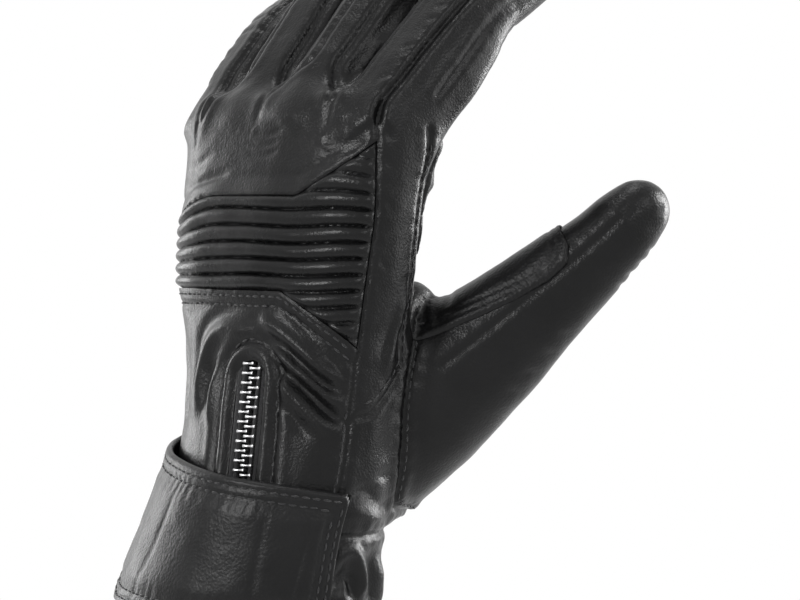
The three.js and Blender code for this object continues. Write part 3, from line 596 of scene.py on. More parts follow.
points, faces = arrays(blank)
edges = edges_of(faces)
points = smoothed(points, edges, 0.5, 8)
rim_height = (points - rim) @ rim_up
near_rim = smoothstep(12 - np.abs(rim_height - 1), 0, 10)
thumb_s, _, _, thumb_out_by = digit_place(digits["thumb"], points)
near_thumb = smoothstep(14 - np.abs(thumb_out_by), 0, 10)
near_thumb = near_thumb * smoothstep(34 - thumb_s, 0, 14) * smoothstep(thumb_s, -30, -8)
soft = np.maximum(0.9 * near_rim * (points[:, 0] < 70) * (rim_height < 14), near_thumb)[:, None]
points = smoothed(points, edges, 0.5 * soft, 26)
points = smoothed(points, edges, 0.5, 3)
blank.data.vertices.foreach_set("co", (points * mm).ravel())
lining_points, lining_faces = points.copy(), faces.copy()
finish_with(blank, "SUBSURF", levels=1, render_levels=1)
points, faces = arrays(blank)
bpy.data.objects.remove(blank)


def normals_of(points, faces):
    """Outward directions at the points of a mesh of triangles or quads."""
    a, b, c = points[faces[:, 0]], points[faces[:, 1]], points[faces[:, -1]]
    middle_c = points[faces[:, 2]]
    normal = np.cross(middle_c - a, c - b) if faces.shape[1] == 4 else np.cross(b - a, middle_c - a)
    total = np.zeros_like(points)
    for corner in faces.T:
        for k in range(3):
            total[:, k] += np.bincount(corner, normal[:, k], len(points))
    return unit(total + 1e-12)


smooth_points = points
smooth_normals = normals_of(points, faces)
skin_tree = BVHTree.FromPolygons([Vector(p) for p in points], faces.tolist())

# Hand coordinates of every point of the skin, from the nearest point of a fine grid.
grid_u, grid_t = np.meshgrid(np.arange(0, 360, 2.0), np.arange(0, palm_length + 0.1, 2.0), indexing="ij")
grid = hand_point(grid_u, grid_t).reshape(-1, 3)
grid_tree = search_tree(grid)


def hand_place(points):
    """Degrees round the hand and height of the place on it that lies nearest to each point."""
    nearest = np.array([grid_tree.find(p)[1] for p in points])
    u, t = grid_u.ravel()[nearest], grid_t.ravel()[nearest]
    for _ in range(2):
        here = hand_point(u, t)
        along_u = hand_point(u + 0.5, t) - hand_point(u - 0.5, t)
        low = np.clip(t - 0.5, 0, palm_length - 1)
        along_t = hand_point(u, low + 1) - hand_point(u, low)
        off = points - here
        u = u + np.clip((off * along_u).sum(1) / (along_u**2).sum(1), -2, 2)
        t = np.clip(t + np.clip((off * along_t).sum(1) / (along_t**2).sum(1), -2, 2), 0, palm_length)
    return u % 360, t


skin_u, skin_t = hand_place(smooth_points)
hand_gap = np.linalg.norm(smooth_points - hand_point(skin_u, skin_t), axis=1)
on_hand = smoothstep(4.5 - hand_gap, 0, 2.5)

# ---- Relief of the leather --------------------------------------------------------------------
# Seams, folds and wrinkles are pressed into the skin along lines that lie on it. rise is how far
# each point of the skin comes to stand out, in millimetres.

rise = np.zeros(len(smooth_points))


def spline(points, step=0.7):
    """A smooth line through points, with a point about every step."""
    points = np.asarray(points, float)
    if len(points) == 2:
        points = np.array([points[0], points.mean(0), points[1]])
    chord = np.concatenate([[0], np.cumsum(np.linalg.norm(np.diff(points, axis=0), axis=1))])
    at = np.linspace(0, chord[-1], max(4, int(chord[-1] / step)))
    return np.stack([through(chord, column, at) for column in points.T], -1)


def on_skin(points):
    """The nearest places on the smooth skin, and the directions out of it there."""
    found = [skin_tree.find_nearest(Vector(p)) for p in points]
    return np.array([f[0] for f in found]), np.array([f[1] for f in found])


def hand_line(*places):
    """A line on the skin through places given as degrees round the hand and height."""
    places = np.array(places, float)
    return on_skin(spline(hand_point(places[:, 0], places[:, 1])))[0]


def digit_route(name, *places):
    """A line on the skin through places given as degrees round a digit and distance along it."""
    places = np.array(places, float)
    return on_skin(spline(digit_point(digits[name], places[:, 0], places[:, 1])))[0]


def near(line, width):
    """The skin's points near a line: which, how far off, how far along, and the line's length."""
    inside = np.flatnonzero((
        (smooth_points > line.min(0) - width) & (smooth_points < line.max(0) + width)
    ).all(1))
    centre = line.mean(0)
    off, on = smooth_points[inside] - centre, line - centre
    squares = (off**2).sum(1)[:, None] + (on**2).sum(1) - 2 * off @ on.T
    nearest = squares.argmin(1)
    away = np.sqrt(np.maximum(squares[np.arange(len(inside)), nearest], 0))
    length = np.concatenate([[0], np.cumsum(np.linalg.norm(np.diff(line, axis=0), axis=1))])
    chosen = away < width
    return inside[chosen], away[chosen], length[nearest[chosen]], length[-1]


def fold(line, height, width, fade=7.0):
    """Raises a rounded fold along a line, or presses a valley where height is below 0."""
    which, away, along, length = near(line, 3 * width)
    ends = smoothstep(along, 0, fade) * smoothstep(length - along, 0, fade)
    rise[which] += height * hump(away, width) * ends


def knot(place, height, width):
    """A small bump where a seam's thread is drawn tight."""
    away = np.linalg.norm(smooth_points - place, axis=1)
    rise[:] += height * hump(away, width)


def seam(line, depth=0.9, pucker=0.35, swell=0.35, fade=3.0, pitch=5.5):
    """A sewn seam: a narrow valley between two swelling edges that pucker along it."""
    which, away, along, length = near(line, 8)
    ends = smoothstep(along, 0, fade) * smoothstep(length - along, 0, fade)
    wave = np.sin(2 * math.pi * along / pitch + 1.7 * np.sin(along / 9.1)) * np.cos(along / 4.3)
    edge = hump(away - 2.4, 1.9)
    valley = hump(away, 0.95)
    rise[which] += ends * (swell * edge + pucker * wave * edge - depth * valley)


def rough(points, size, seed):
    """Smooth noise from -1 to 1 whose swells are about size across."""
    shift = Vector((seed * 7.3, seed * 3.1, seed * 5.7))
    return np.array([noise.noise(Vector(p) / size + shift) for p in points])


for height, size, seed in ((0.38, 21, 1), (0.2, 8.5, 2), (0.03, 3.6, 3)):
    rise += height * rough(smooth_points, size, seed)

# ---- Seams of the hand ------------------------------------------------------------------------
# One seam runs down each side of the back and one divides the index finger's side panel from
# the palm. Three darts between the fingers end in small tucks on the back of the hand.

ulnar_seam = 190
palm_seam = 378
cuff_seam = 341


def back_seam(t):
    return 341 - 9 * smoothstep(t, 0.8 * palm_length, palm_length)


# The ribbed panel is a band that widens towards the thumb side into a wedge of more ribs.
rib_pitch = 4.4
rib_height = 1.7
band_low, band_high = 0.709 * palm_length, 0.854 * palm_length
wedge_low, wedge_high = 0.617 * palm_length, 0.934 * palm_length
wedge_start = 9 / 13


def across_back(u, t):
    """The share of the width of the back, from the little-finger side to the thumb side."""
    return (u - ulnar_seam) / (back_seam(t) - ulnar_seam)


def rib_low(p):
    return band_low + (wedge_low - band_low) * np.clip((p - wedge_start) / (1 - wedge_start), 0, 1)


def rib_droop(p):
    """The upper ribs come down towards the little-finger side."""
    return 6.0 * (1 - smoothstep(p, 0.1, 0.44))


def rib_high(p):
    wedge = (wedge_high - band_high) * np.clip((p - wedge_start) / (1 - wedge_start), 0, 1)
    return band_high + wedge - rib_droop(p)


def back_line(height_at, low=0.0, high=1.0):
    """A line across the back at the height that height_at gives for each share of the width."""
    p = np.linspace(low, high, 60)
    t = height_at(p)
    u = ulnar_seam + p * (back_seam(t) - ulnar_seam)
    return on_skin(hand_point(u, t))[0]


side_foot = np.array([[349, 89.5], [356, 90.5], [367, 95.4], [378, 101.5]])
heights = np.linspace(wedge_low - 20, palm_length, 60)
seam_lines = {
    "back": on_skin(hand_point(back_seam(heights), heights))[0],
    "back_foot": hand_line((342, 90), (342, 72), (341, wrist)),
    "ulnar": hand_line(*[(ulnar_seam, t) for t in (wrist, 90, 120, 150, 174)]),
    "palm": hand_line(*[(palm_seam, t) for t in (101.5, 125, 150, 174)]),
    "side_foot": hand_line((342, 89.2), *side_foot),
    "wrist_back": hand_line(*[(u, wrist) for u in range(190, 346, 12)]),
    "wrist_palm": hand_line(*[(u, wrist) for u in range(341, 552, 12)]),
}
for name, line in seam_lines.items():
    seam(line, pucker=0.2 if name.startswith("wrist") else 0.12, swell=0.25)
seam(digit_route("index", (205, 4), (200, 20), (198, 45), (196, 68)), depth=0.5, pucker=0.08, swell=0.2)

# degrees past the back's middle at which each finger's side seams run, by finger and side
seam_turn = {
    ("little", 1): 22, ("ring", -1): -20, ("ring", 1): 46,
    ("middle", -1): 2, ("middle", 1): 46, ("index", -1): -20,
}
darts = [("little", "ring", (233, 161)), ("ring", "middle", (269, 167)), ("middle", "index", (302, 165.5))]
for first, second, (u, t) in darts:
    for name, side in ((first, 1), (second, -1)):
        digit = digits[name]
        start = hand_point(u, t)
        crotch_point = hand_point(u + 1.5 * side, t + 7)
        angle = 270 + seam_turn[name, side]
        up_finger = digit_point(digit, angle, np.linspace(7, digit["length"] - 9, 9))
        line = on_skin(spline([start, 0.5 * (crotch_point + up_finger[0]), *up_finger]))[0]
        seam(line, depth=0.75, pucker=0.07, swell=0.6, pitch=6.5, fade=15)
    fold(hand_line((u, t - 2.5), (u + 0.5, t + 5), (u + 0.5, t + 9)), -0.3, 1.4, fade=5)
    for drop in (3.5, 6, 8.5):
        tuck = hand_line((u - 3, t - drop + 1), (u + 5, t - drop), (u + 13, t - drop + 1.5))
        fold(tuck, -0.32, 0.8, fade=4)
    knot(hand_point(u, t - 2.8), 0.45, 1.0)
    knot(hand_point(u + 11, t - 0.5), 0.35, 0.9)
seam(digit_route("little", (228, 3), (226, 18), (226, 40), (228, 55)), depth=0.7, pucker=0.2, swell=0.5)
index_back = digit_point(digits["index"], [318, 320, 319, 321, 325, 326], np.array([-4, 5, 17, 27, 40, 64]))
seam(on_skin(spline([hand_point(332, 167), *index_back]))[0], depth=1.4, pucker=0.06, swell=0.65, fade=2)
for name in finger_table:
    stops = np.linspace(5, digits[name]["length"] - 8, 8)
    for angle in (8, 172):
        seam(digit_route(name, *[(angle, s) for s in stops]), depth=0.5, pucker=0.08, swell=0.3)
    joint = digits[name]["joint"]
    for k, s in enumerate((-7, -2.5, 2, 6.5)):
        line = digit_route(name, (232 + 4 * k, joint + s), (270, joint + s + 0.8), (306 - 3 * k, joint + s))
        fold(line, -0.45 if k % 2 else -0.3, 1.1, fade=5)
    for s in (-5, 0.5, 6):
        fold(digit_route(name, (40, joint + s), (90, joint + s + 1), (140, joint + s)), -0.7, 1.3, fade=6)

# ---- Folds and wrinkles -----------------------------------------------------------------------
# The leather gathers in an arch over the top of the zip, in slack folds between the ribs and
# the wrist, and in short wrinkles where the thumb and the index finger pull at the back.

arch = (247, 84), (249, 95), (253, 104), (260.5, 110.5), (270, 113), (280, 112), (286, 107.5)
over_arch = (243, 88), (244, 101), (250, 110.5), (260, 116.5), (272, 118), (282, 115)
usual = 7.0


def folds(*rows):
    """Folds of the hand: a height, a width, how far it fades at its ends, and its places."""
    for height, width, fade, *places in rows:
        fold(hand_line(*places), height, width, fade)


folds(
    (1.7, 2.6, 16, *arch),
    (-0.7, 2.2, 12, *over_arch),
    (-1.1, 1.9, 8, (255, 86), (256, 96), (260, 102.5), (266, 106)),
    (0.8, 1.5, 7, (262, 84), (262.5, 96), (266, 103)),
    (1.7, 2.0, usual, (284, 117.5), (298, 113), (313, 107), (326, 101.5), (338, 99.5)),
    (-1.3, 1.7, usual, (286, 113.5), (300, 108.5), (315, 102.5), (328, 97.5), (339, 96)),
    (1.2, 1.6, usual, (292, 110), (304, 105), (318, 99), (331, 94), (342, 92)),
    (-1.7, 1.8, usual, (294, 105.5), (306, 100.5), (318, 95.5), (331, 90), (345, 87)),
    (1.5, 2.2, usual, (298, 100.5), (311, 94.5), (325, 87.5), (338, 84)),
    (-0.8, 1.8, usual, (300, 95), (312, 88.5), (324, 82)),
)
for k in range(6):
    u, t = 296 + 6.5 * k, 121 - 3.3 * k
    fold(hand_line((u, t), (u + 6, t - 3.4), (u + 11, t - 4.6)), -0.5 - 0.1 * (k % 2), 0.9, fade=3)
folds(
    (-0.35, 1.8, usual, (232, 117), (246, 118), (262, 120)),
    (-0.6, 2.6, 10, (222, 118), (226, 104), (232, 90), (236, 80)),
    (0.5, 2.6, 10, (214, 112), (219, 98), (226, 84)),
    (-0.5, 2.0, 8, (206, 106), (212, 92), (217, 80)),
    (-0.5, 1.4, usual, (237, 152), (249, 153.5), (264, 156)),
    (-0.35, 1.5, usual, (222, 155), (238, 157), (252, 160)),
    (-0.6, 1.3, 4, (312, 158.5), (322, 161.5), (331, 164)),
    (0.5, 1.6, 4, (309, 162), (318, 165), (329, 168.5)),
    (1.0, 2.2, usual, (376, 125), (371, 117), (366, 107), (362, 99)),
    (-0.8, 1.8, usual, (380, 122), (375, 113), (371, 104)),
    (-0.45, 1.6, usual, (366, 121), (361, 112), (357, 103)),
)
for k in range(9):
    t = 121 + 5.6 * k
    pull = hand_line((back_seam(t) + 3, t + 1), (back_seam(t) + 9 + 3 * (k % 3), t - 2 - k % 2))
    fold(pull, -0.35, 1.0, fade=3)
for k in range(10):
    u, s = 315 - 3 * (k % 2), 3.4 * k + 1.1 * math.sin(2.3 * k)
    far = 20 + 9 * math.sin(1.7 * k)
    fold(digit_route("index", (u, s), (u - 0.5 * far, s - 1.4), (u - far, s - 4.5)), -0.42, 0.9, fade=4)
folds(
    (2.3, 2.3, 7, (346, 45), (352, 51), (360, 51.5), (367, 46), (371, 36)),
    (-1.6, 2.0, 6, (349, 39), (355, 44.5), (361, 44), (366, 37)),
    (1.0, 1.9, 5, (352, 36), (357, 38.5), (361, 33)),
    (-1.5, 2.3, 7, (374, 53), (379, 44), (381, 32)),
    (1.7, 3.2, 8, (384, 50), (390, 42), (391, 30)),
    (1.1, 2.4, 8, (344, 60), (356, 62.5), (372, 61), (388, 62)),
    (-0.9, 1.8, 7, (346, 66), (358, 69), (374, 67.5)),
    (-1.2, 3.0, 8, (398, 52), (404, 40), (402, 26)),
)
for k, t in enumerate((64, 70, 61, 76)):
    u = 352 + 9 * k
    fold(hand_line((u, t), (u + 12, t + 2.5), (u + 26, t + 1)), -0.7, 1.9, fade=8)
for k in range(5):
    u = 400 + 30 * k
    fold(hand_line((u, 66 + 3 * (k % 2)), (u + 16, 69), (u + 34, 66)), -0.8, 2.0, fade=9)
for u, t in ((215, 30), (238, 22), (330, 24), (392, 28), (430, 20), (470, 32), (510, 22)):
    fold(hand_line((u, t + 12), (u + 3, t), (u + 2, t - 10)), -0.9, 3.2, fade=8)
    fold(hand_line((u + 8, t + 10), (u + 10, t - 8)), 0.7, 3.2, fade=8)
palm_edge = (137, -0.6, 3), (146, -1.4, 4), (157, 1.6, 3.5), (163, -0.6, 2.5)
for t, height, width in palm_edge:
    fold(hand_line((388, t - 1), (400, t), (414, t + 0.5), (430, t)), height, width, fade=8)
folds(
    (-1.0, 2.4, 10, (412, 96), (432, 112), (446, 128), (452, 136)),
    (-0.8, 2.0, 10, (405, 140), (440, 142), (480, 137), (520, 136)),
    (-0.7, 2.2, 10, (418, 122), (450, 128), (490, 126), (524, 120)),
)

# The thumb folds across the inside of its root and under its joint.
for k, (low, high) in enumerate(((150, 40), (146, 52), (152, 44), (140, 60))):
    s = 25 + 4.3 * k
    line = digit_route("thumb", (low, s - 2), (100, s + 1.5), (high, s))
    fold(line, -0.7 + 0.1 * k, 1.5, fade=8)
for k in range(4):
    s = thumb_joint - 5 + 4 * k
    fold(digit_route("thumb", (240, s), (270, s + 1), (300, s)), -0.4, 1.1, fade=5)
    fold(digit_route("thumb", (215, 34 + 7 * k), (240, 37 + 7 * k), (262, 35 + 7 * k)), -0.35, 1.6, fade=6)
for angle in (8, 172):
    stops = np.linspace(24, thumb_length - 8, 8)
    seam(digit_route("thumb", *[(angle, s) for s in stops]), depth=0.45, pucker=0.07, swell=0.2)

# ---- Slit for the zip -------------------------------------------------------------------------
# The slit's edges are turned in and stitched down over a welt, which runs round its upper end.

zip_top = 0.629 * palm_length
slit_top = zip_top - 5.3  # the leather covers the stop at the chain's end
zip_half = 5.3
zip_up = unit(zip_line(np.array(100.0)) - zip_line(np.array(0.0)))
zip_across = unit(hand_point(zip_angle(wrist) + 2, wrist) - hand_point(zip_angle(wrist) - 2, wrist))
zip_out = unit(np.cross(zip_across, zip_up))
zip_side = unit(np.cross(zip_up, zip_out))
zip_origin = zip_line(np.array(wrist))


def zip_share(t):
    """Distance along the zip, from its origin at the wrist seam, of a height."""
    return (t - wrist) / zip_up[2]


def zip_place(points):
    off = points - zip_origin
    return off @ zip_side, off @ zip_up, off @ zip_out


def slit_gap(points, half, top):
    """How far points lie outside a slit of that half width with a round end at the top."""
    x, y, out = zip_place(points)
    above = np.maximum(y - (zip_share(top) - half), 0)
    gap = np.sqrt(x**2 + above**2) - half
    return np.where(out > -18, gap, 50.0)


edge_gap = slit_gap(smooth_points, zip_half, slit_top)
beside_slit = edge_gap < 30
for at, height, width in ((2.6, 0.95, 1.5), (5.6, -0.55, 0.9), (8.6, 0.45, 1.8)):
    rise += height * hump(edge_gap - at, width) * beside_slit
rise -= hump(np.maximum(edge_gap, 0), 0.8) * beside_slit

# The skin's edges along the ribbed panel lie over it, and swell a little.
skin_p = across_back(skin_u, skin_t)
on_back = (skin_u > ulnar_seam) & (skin_u < back_seam(skin_t)) & (on_hand > 0)
for edge_at, side in ((rib_low, -1), (rib_high, 1)):
    off = side * (skin_t - edge_at(skin_p))
    outside_edge = (off > 0) * on_back * (on_hand > 0.5)
    rise += (0.55 * hump(off, 2.6) - 0.3 * hump(off - 4.4, 1.0)) * outside_edge

# ---- Where the rows of stitches lie -----------------------------------------------------------
# Every lapped edge is sewn down with one or two rows of thread, which draw it in a little.


def hand_depth_at(points):
    """How far points lie outside the hand's form, or above its rim."""
    u, t = hand_place(points)
    here = hand_point(u, t)
    outward = unit(hand_point(u, t, -1.0) - here)
    return np.maximum(((points - here) * outward).sum(1), (points - rim) @ rim_up)


def thumb_mouth(angles):
    """Where the thumb's form leaves the hand's, for angles round the thumb."""
    low, high = np.full(len(angles), -10.0), np.full(len(angles), 45.0)
    for _ in range(14):
        half = 0.5 * (low + high)
        outside = hand_depth_at(digit_point(digits["thumb"], angles, half)) > 0.4
        low, high = np.where(outside, low, half), np.where(outside, half, high)
    return high


# distance along the thumb, and how far its grip patch reaches round to each side there
thumb_radius = 14
patch_stops = np.array([
    [15, 0], [17, 18], [20, 36], [24, 50], [38, 60], [54, 73], [65, 80], [72, 78], [75.5, 60], [77, 0],
])


def patch_reach(s):
    """Half the degrees round the thumb that its grip patch covers at s."""
    return np.interp(s, patch_stops[:, 0], patch_stops[:, 1])


def patch_row(inset):
    """A line round the thumb's grip patch, inset millimetres inside its edge."""
    middle_s = 0.5 * (patch_stops[0, 0] + patch_stops[-1, 0])
    shrink = 1 - 2 * inset / (patch_stops[-1, 0] - patch_stops[0, 0])
    s = middle_s + (patch_stops[1:-1, 0] - middle_s) * shrink
    reach = patch_stops[1:-1, 1] - math.degrees(inset / thumb_radius)
    sides = [(90 + r, at) for r, at in zip(reach, s)]
    ends = [(90, middle_s + (patch_stops[-1, 0] - middle_s) * shrink)]
    back = [(90 - r, at) for r, at in zip(reach[::-1], s[::-1])]
    start = [(90, middle_s + (patch_stops[0, 0] - middle_s) * shrink)]
    return digit_route("thumb", *start, *sides, *ends, *back, *start)


def slit_row(inset):
    """A line round the zip's slit, inset millimetres outside its edge."""
    half = zip_half + inset
    top = zip_share(slit_top) - zip_half
    turn = np.radians(np.arange(180, -1, -15))
    across = [-half, -half, *(half * np.cos(turn)), half, half]
    along = [-44, 0, *(top + half * np.sin(turn)), 0, -44]
    return on_skin(spline([zip_origin + x * zip_side + y * zip_up for x, y in zip(across, along)]))[0]


mouth_angles = np.arange(70.0, 341.0, 6)
mouth_at = thumb_mouth(mouth_angles)
mouth = on_skin(digit_point(digits["thumb"], mouth_angles, mouth_at))[0]
seam(spline(mouth[9:]), pucker=0.2, swell=0.5, fade=9)
mouth_row = on_skin(digit_point(digits["thumb"], mouth_angles[12:], mouth_at[12:] + 2.2))[0]
stitch_rows = {
    "wrist_back": [
        back_line(lambda p: rib_low(p) - 1.5, 0.01, 0.985),
        back_line(lambda p: rib_low(p) - 4.2, 0.01, 0.965),
        slit_row(5.6),
        hand_line((339.5, 90), (339.5, 74), (338.5, 59)),
    ],
    "thumb_root": [mouth_row],
    "index_side": [hand_line((351, 93.2), (357, 94.5), (367, 99.5), (376, 105))],
    "palm": [hand_line(*[(palm_seam + 3, t) for t in (104, 125, 150, 170)])],
}
for rows in stitch_rows.values():
    for row in rows:
        fold(row, -0.28, 0.75, fade=2)
patch_rows = [patch_row(1.9), patch_row(3.9)]
grip = {"from": 392, "to": 530, "low": 134, "high": 171}
grip_row = hand_line(
    *[(u, grip["low"] + 2) for u in range(398, 526, 12)],
    *[(grip["to"] - 3, t) for t in (138, 150, 162)],
    *[(u, grip["high"] - 2) for u in range(524, 396, -12)],
    *[(grip["from"] + 3, t) for t in (166, 152, 138)],
    (398, grip["low"] + 2),
)

outer_points = smooth_points + rise[:, None] * smooth_normals
outer_normals = normals_of(outer_points, faces)
outer_tree = BVHTree.FromPolygons([Vector(p) for p in outer_points], faces.tolist())

# ---- Cutting the panels -----------------------------------------------------------------------
# The skin is cut along the seams into the panels that the glove is sewn from. Each becomes a
# closed piece as thick as the leather.


def skin_of(points, normals, outer, outer_directions, quads, u, t):
    data = np.concatenate([
        points, normals, outer, outer_directions,
        np.cos(np.radians(u))[:, None], np.sin(np.radians(u))[:, None], t[:, None],
    ], 1)
    triangles = np.concatenate([quads[:, [0, 1, 2]], quads[:, [0, 2, 3]]])
    return data, triangles


def trimmed(data, triangles):
    used, index = np.unique(triangles, return_inverse=True)
    return data[used], index.reshape(-1, 3)


def cut(skin, values):
    """Cuts a skin along the line where the values are 0: the part below it and the part above."""
    data, triangles = skin
    values = np.where(np.abs(values) < 1e-4, 1e-4, values)
    above = values > 0
    sides = above[triangles]
    crossed = sides.any(1) & ~sides.all(1)
    whole, mixed = triangles[~crossed], triangles[crossed]
    flags = sides[crossed]
    alone = np.where((flags.sum(1) == 1)[:, None], flags, ~flags).argmax(1)
    turn = (alone[:, None] + np.arange(3)) % 3
    a, b, c = mixed[np.arange(len(mixed))[:, None], turn].T
    pairs = np.sort(np.concatenate([np.stack([a, b], 1), np.stack([a, c], 1)]), 1)
    pairs, index = np.unique(pairs, axis=0, return_inverse=True)
    index = index.ravel()
    low, high = values[pairs[:, 0]], values[pairs[:, 1]]
    share = (low / (low - high))[:, None]
    made = data[pairs[:, 0]] * (1 - share) + data[pairs[:, 1]] * share
    ab, ac = len(data) + index[: len(a)], len(data) + index[len(a):]
    data = np.concatenate([data, made])
    tips = np.stack([a, ab, ac], 1)
    rests = np.concatenate([np.stack([ab, b, c], 1), np.stack([ab, c, ac], 1)])
    rest_above = np.concatenate([~above[a], ~above[a]])
    all_triangles = np.concatenate([whole, tips, rests])
    all_above = np.concatenate([above[whole[:, 0]], above[a], rest_above])
    return trimmed(data, all_triangles[~all_above]), trimmed(data, all_triangles[all_above])


def place_of(skin):
    """The smooth points of a skin with their degrees round the hand (190 to 550) and height."""
    data = skin[0]
    u = np.degrees(np.arctan2(data[:, 13], data[:, 12])) % 360
    return data[:, :3], np.where(u < ulnar_seam, u + 360, u), data[:, 14]


def largest(skin):
    """The largest connected part of a skin."""
    data, triangles = skin
    mark = np.arange(len(data))
    while True:
        low = mark[triangles].min(1)
        fresh = mark.copy()
        for k in range(3):
            np.minimum.at(fresh, triangles[:, k], low)
        fresh = fresh[fresh]
        if (fresh == mark).all():
            break
        mark = fresh
    biggest = np.bincount(mark[triangles[:, 0]]).argmax()
    return trimmed(data, triangles[mark[triangles[:, 0]] == biggest])


def shell(name, skin, material, thick, sink=0.0, raised=None):
    """A closed piece: a skin's outside, lifted by raised or sunk from the smooth skin by sink,
    and an inside as deep as its thickness."""
    data, triangles = skin
    smooth, normal = data[:, :3], unit(data[:, 3:6])
    outside, facing = data[:, 6:9], unit(data[:, 9:12])
    inside = smooth - (sink + thick) * normal
    if sink:
        outside, facing = smooth - sink * normal, normal
    if raised is not None:
        inside = outside + 0.04 * normal
        outside = outside + raised * normal
        facing = normals_of(outside, triangles)
    count = len(data)
    directed = np.concatenate([triangles[:, [0, 1]], triangles[:, [1, 2]], triangles[:, [2, 0]]])
    keys = directed[:, 0] * count + directed[:, 1]
    twins = directed[:, 1] * count + directed[:, 0]
    border = directed[~np.isin(keys, twins)]
    wall = np.stack([border[:, 1], border[:, 0], border[:, 0] + count, border[:, 1] + count], 1)
    all_faces = [*triangles.tolist(), *(triangles[:, ::-1] + count).tolist(), *wall.tolist()]
    made = new_object(name, np.concatenate([outside, inside]), all_faces)
    made.data.polygons.foreach_set("use_smooth", np.ones(len(all_faces), bool))
    made.data.normals_split_custom_set_from_vertices(np.concatenate([facing, -normal]).tolist())
    made.data.materials.append(material)
    return made


def digit_field(skin, name):
    return digit_place(digits[name], skin[0][:, :3])


web_height = 2.5


def thumb_share(skin, y, beside):
    """Above 0 where a point belongs to the thumb or the crotch's web rather than to the hand."""
    return hand_depth_at(skin[0][:, :3]) - beside + 5.0 * smoothstep(y, 14, 20)


def divide(skin):
    """Divides a skin into hand, thumb and fingers."""
    s, x, y, beside = digit_field(skin, "thumb")
    close = (s > 2) & (beside < 8)
    outside_hand = np.minimum(thumb_share(skin, y, beside), 8 - beside)
    hand, thumb = cut(skin, np.where(close, outside_hand, -3.0))
    thumb = largest(thumb)
    points = hand[0][:, :3]
    hand, rest = cut(hand, (points - rim) @ rim_up - web_height)
    parts = {"hand": largest(hand), "thumb": thumb}
    names = list(finger_table)
    for left, right in zip(names, names[1:]):
        gap = digit_field(rest, left)[3] - digit_field(rest, right)[3]
        parts[left], rest = (largest(part) for part in cut(rest, gap))
    parts[names[-1]] = rest
    return parts


parts = divide(skin_of(smooth_points, smooth_normals, outer_points, outer_normals, faces, skin_u, skin_t))


def band(u, low, high):
    """Above 0 between two angles round the hand: degrees from the nearer of them."""
    inside = (u - low) % 360 < (high - low)
    gap = np.minimum(np.abs((u - low + 180) % 360 - 180), np.abs((u - high + 180) % 360 - 180))
    return np.where(inside, gap, -gap)


def dress(obj, slot, *nodes):
    """Hides the CAD nodes that a piece stands for, and returns the piece. The slot is not used."""
    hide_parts(*nodes)
    return obj


def hand_panel(name, skin, *nodes):
    """A panel of the hand or cuff, which moves with the hand."""
    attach(dress(shell(name, skin, hide, leather), "leather", *nodes), "hand")


hem = 1.5
_, hand_skin = cut(parts["hand"], parts["hand"][0][:, 2] - hem)
cuff_skin, upper_skin = cut(hand_skin, place_of(hand_skin)[2] - wrist)

_, u, _ = place_of(cuff_skin)
cuff_palm, cuff_back = cut(cuff_skin, band(u, ulnar_seam, cuff_seam))
_, cuff_back = cut(cuff_back, slit_gap(cuff_back[0][:, :3], zip_half, slit_top))
outer_cuff, inner_cuff = cut(cuff_back, zip_place(cuff_back[0][:, :3])[0])
hand_panel("cuff_palm_leather", cuff_palm, "cuff_palm")
hand_panel("cuff_back_outer_leather", outer_cuff, "cuff_back_outer")
hand_panel("cuff_back_inner_leather", inner_cuff, "cuff_back_inner")

_, u, t = place_of(upper_skin)
front, back = cut(upper_skin, band(u, ulnar_seam, back_seam(t)))
_, back = cut(back, slit_gap(back[0][:, :3], zip_half, slit_top))
_, u, t = place_of(back)
wrist_back, back = cut(back, t - rib_low(across_back(u, t)))
_, u, t = place_of(back)
_, knuckles = cut(back, t - rib_high(across_back(u, t)))
hand_panel("wrist_back_leather", wrist_back, "wrist_back_panel")
hand_panel("knuckle_leather", knuckles, "knuckle_panel", "finger_web")

_, u, t = place_of(front)
foot = np.interp(u, side_foot[:, 0], side_foot[:, 1])
above_foot = np.minimum(0.8 * band(u, back_seam(t), palm_seam), t - foot)
palm, index_side = cut(front, above_foot)
hand_panel("index_side_leather", index_side, "index_side_panel")
hand_panel("palm_leather", palm, "palm_panel")

# ---- Ribbed panel -----------------------------------------------------------------------------
# A padded panel across the back, sewn in parallel rows over soft piping. Six ribs cross the
# whole back, and more of them fill the wedge at the thumb side.


def grid_faces(rows, columns):
    """The quads of a closed sheet with two faces of rows by columns points."""
    at = np.arange(rows * columns).reshape(rows, columns)
    other = at + rows * columns
    quads = [np.stack([at[:-1, :-1], at[:-1, 1:], at[1:, 1:], at[1:, :-1]], -1).reshape(-1, 4)]
    back = [other[:-1, :-1], other[1:, :-1], other[1:, 1:], other[:-1, 1:]]
    quads.append(np.stack(back, -1).reshape(-1, 4))
    for edge, twin in ((at[0], other[0]), (at[-1][::-1], other[-1][::-1]),
                       (at[:, 0][::-1], other[:, 0][::-1]), (at[:, -1], other[:, -1])):
        quads.append(np.stack([edge[1:], edge[:-1], twin[:-1], twin[1:]], -1))
    return np.concatenate(quads)


def sheet_piece(name, outside, inside, material):
    """A closed sheet between two grids of points, rows from the left edge to the right."""
    rows, columns = outside.shape[:2]
    quads = grid_faces(rows, columns)
    points = np.concatenate([outside.reshape(-1, 3), inside.reshape(-1, 3)])
    a, b, c, d = (points[quads[:, k]] for k in range(4))
    middle_point = points.mean(0)
    volume = (((a + b + c + d) / 4 - middle_point) * np.cross(c - a, d - b)).sum()
    if volume < 0:
        quads = quads[:, ::-1]
    made = new_object(name, points, quads.tolist())
    made.data.polygons.foreach_set("use_smooth", np.ones(len(quads), bool))
    only(made)
    bpy.ops.object.shade_smooth_by_angle(angle=math.radians(50))
    made.data.materials.append(material)
    return made


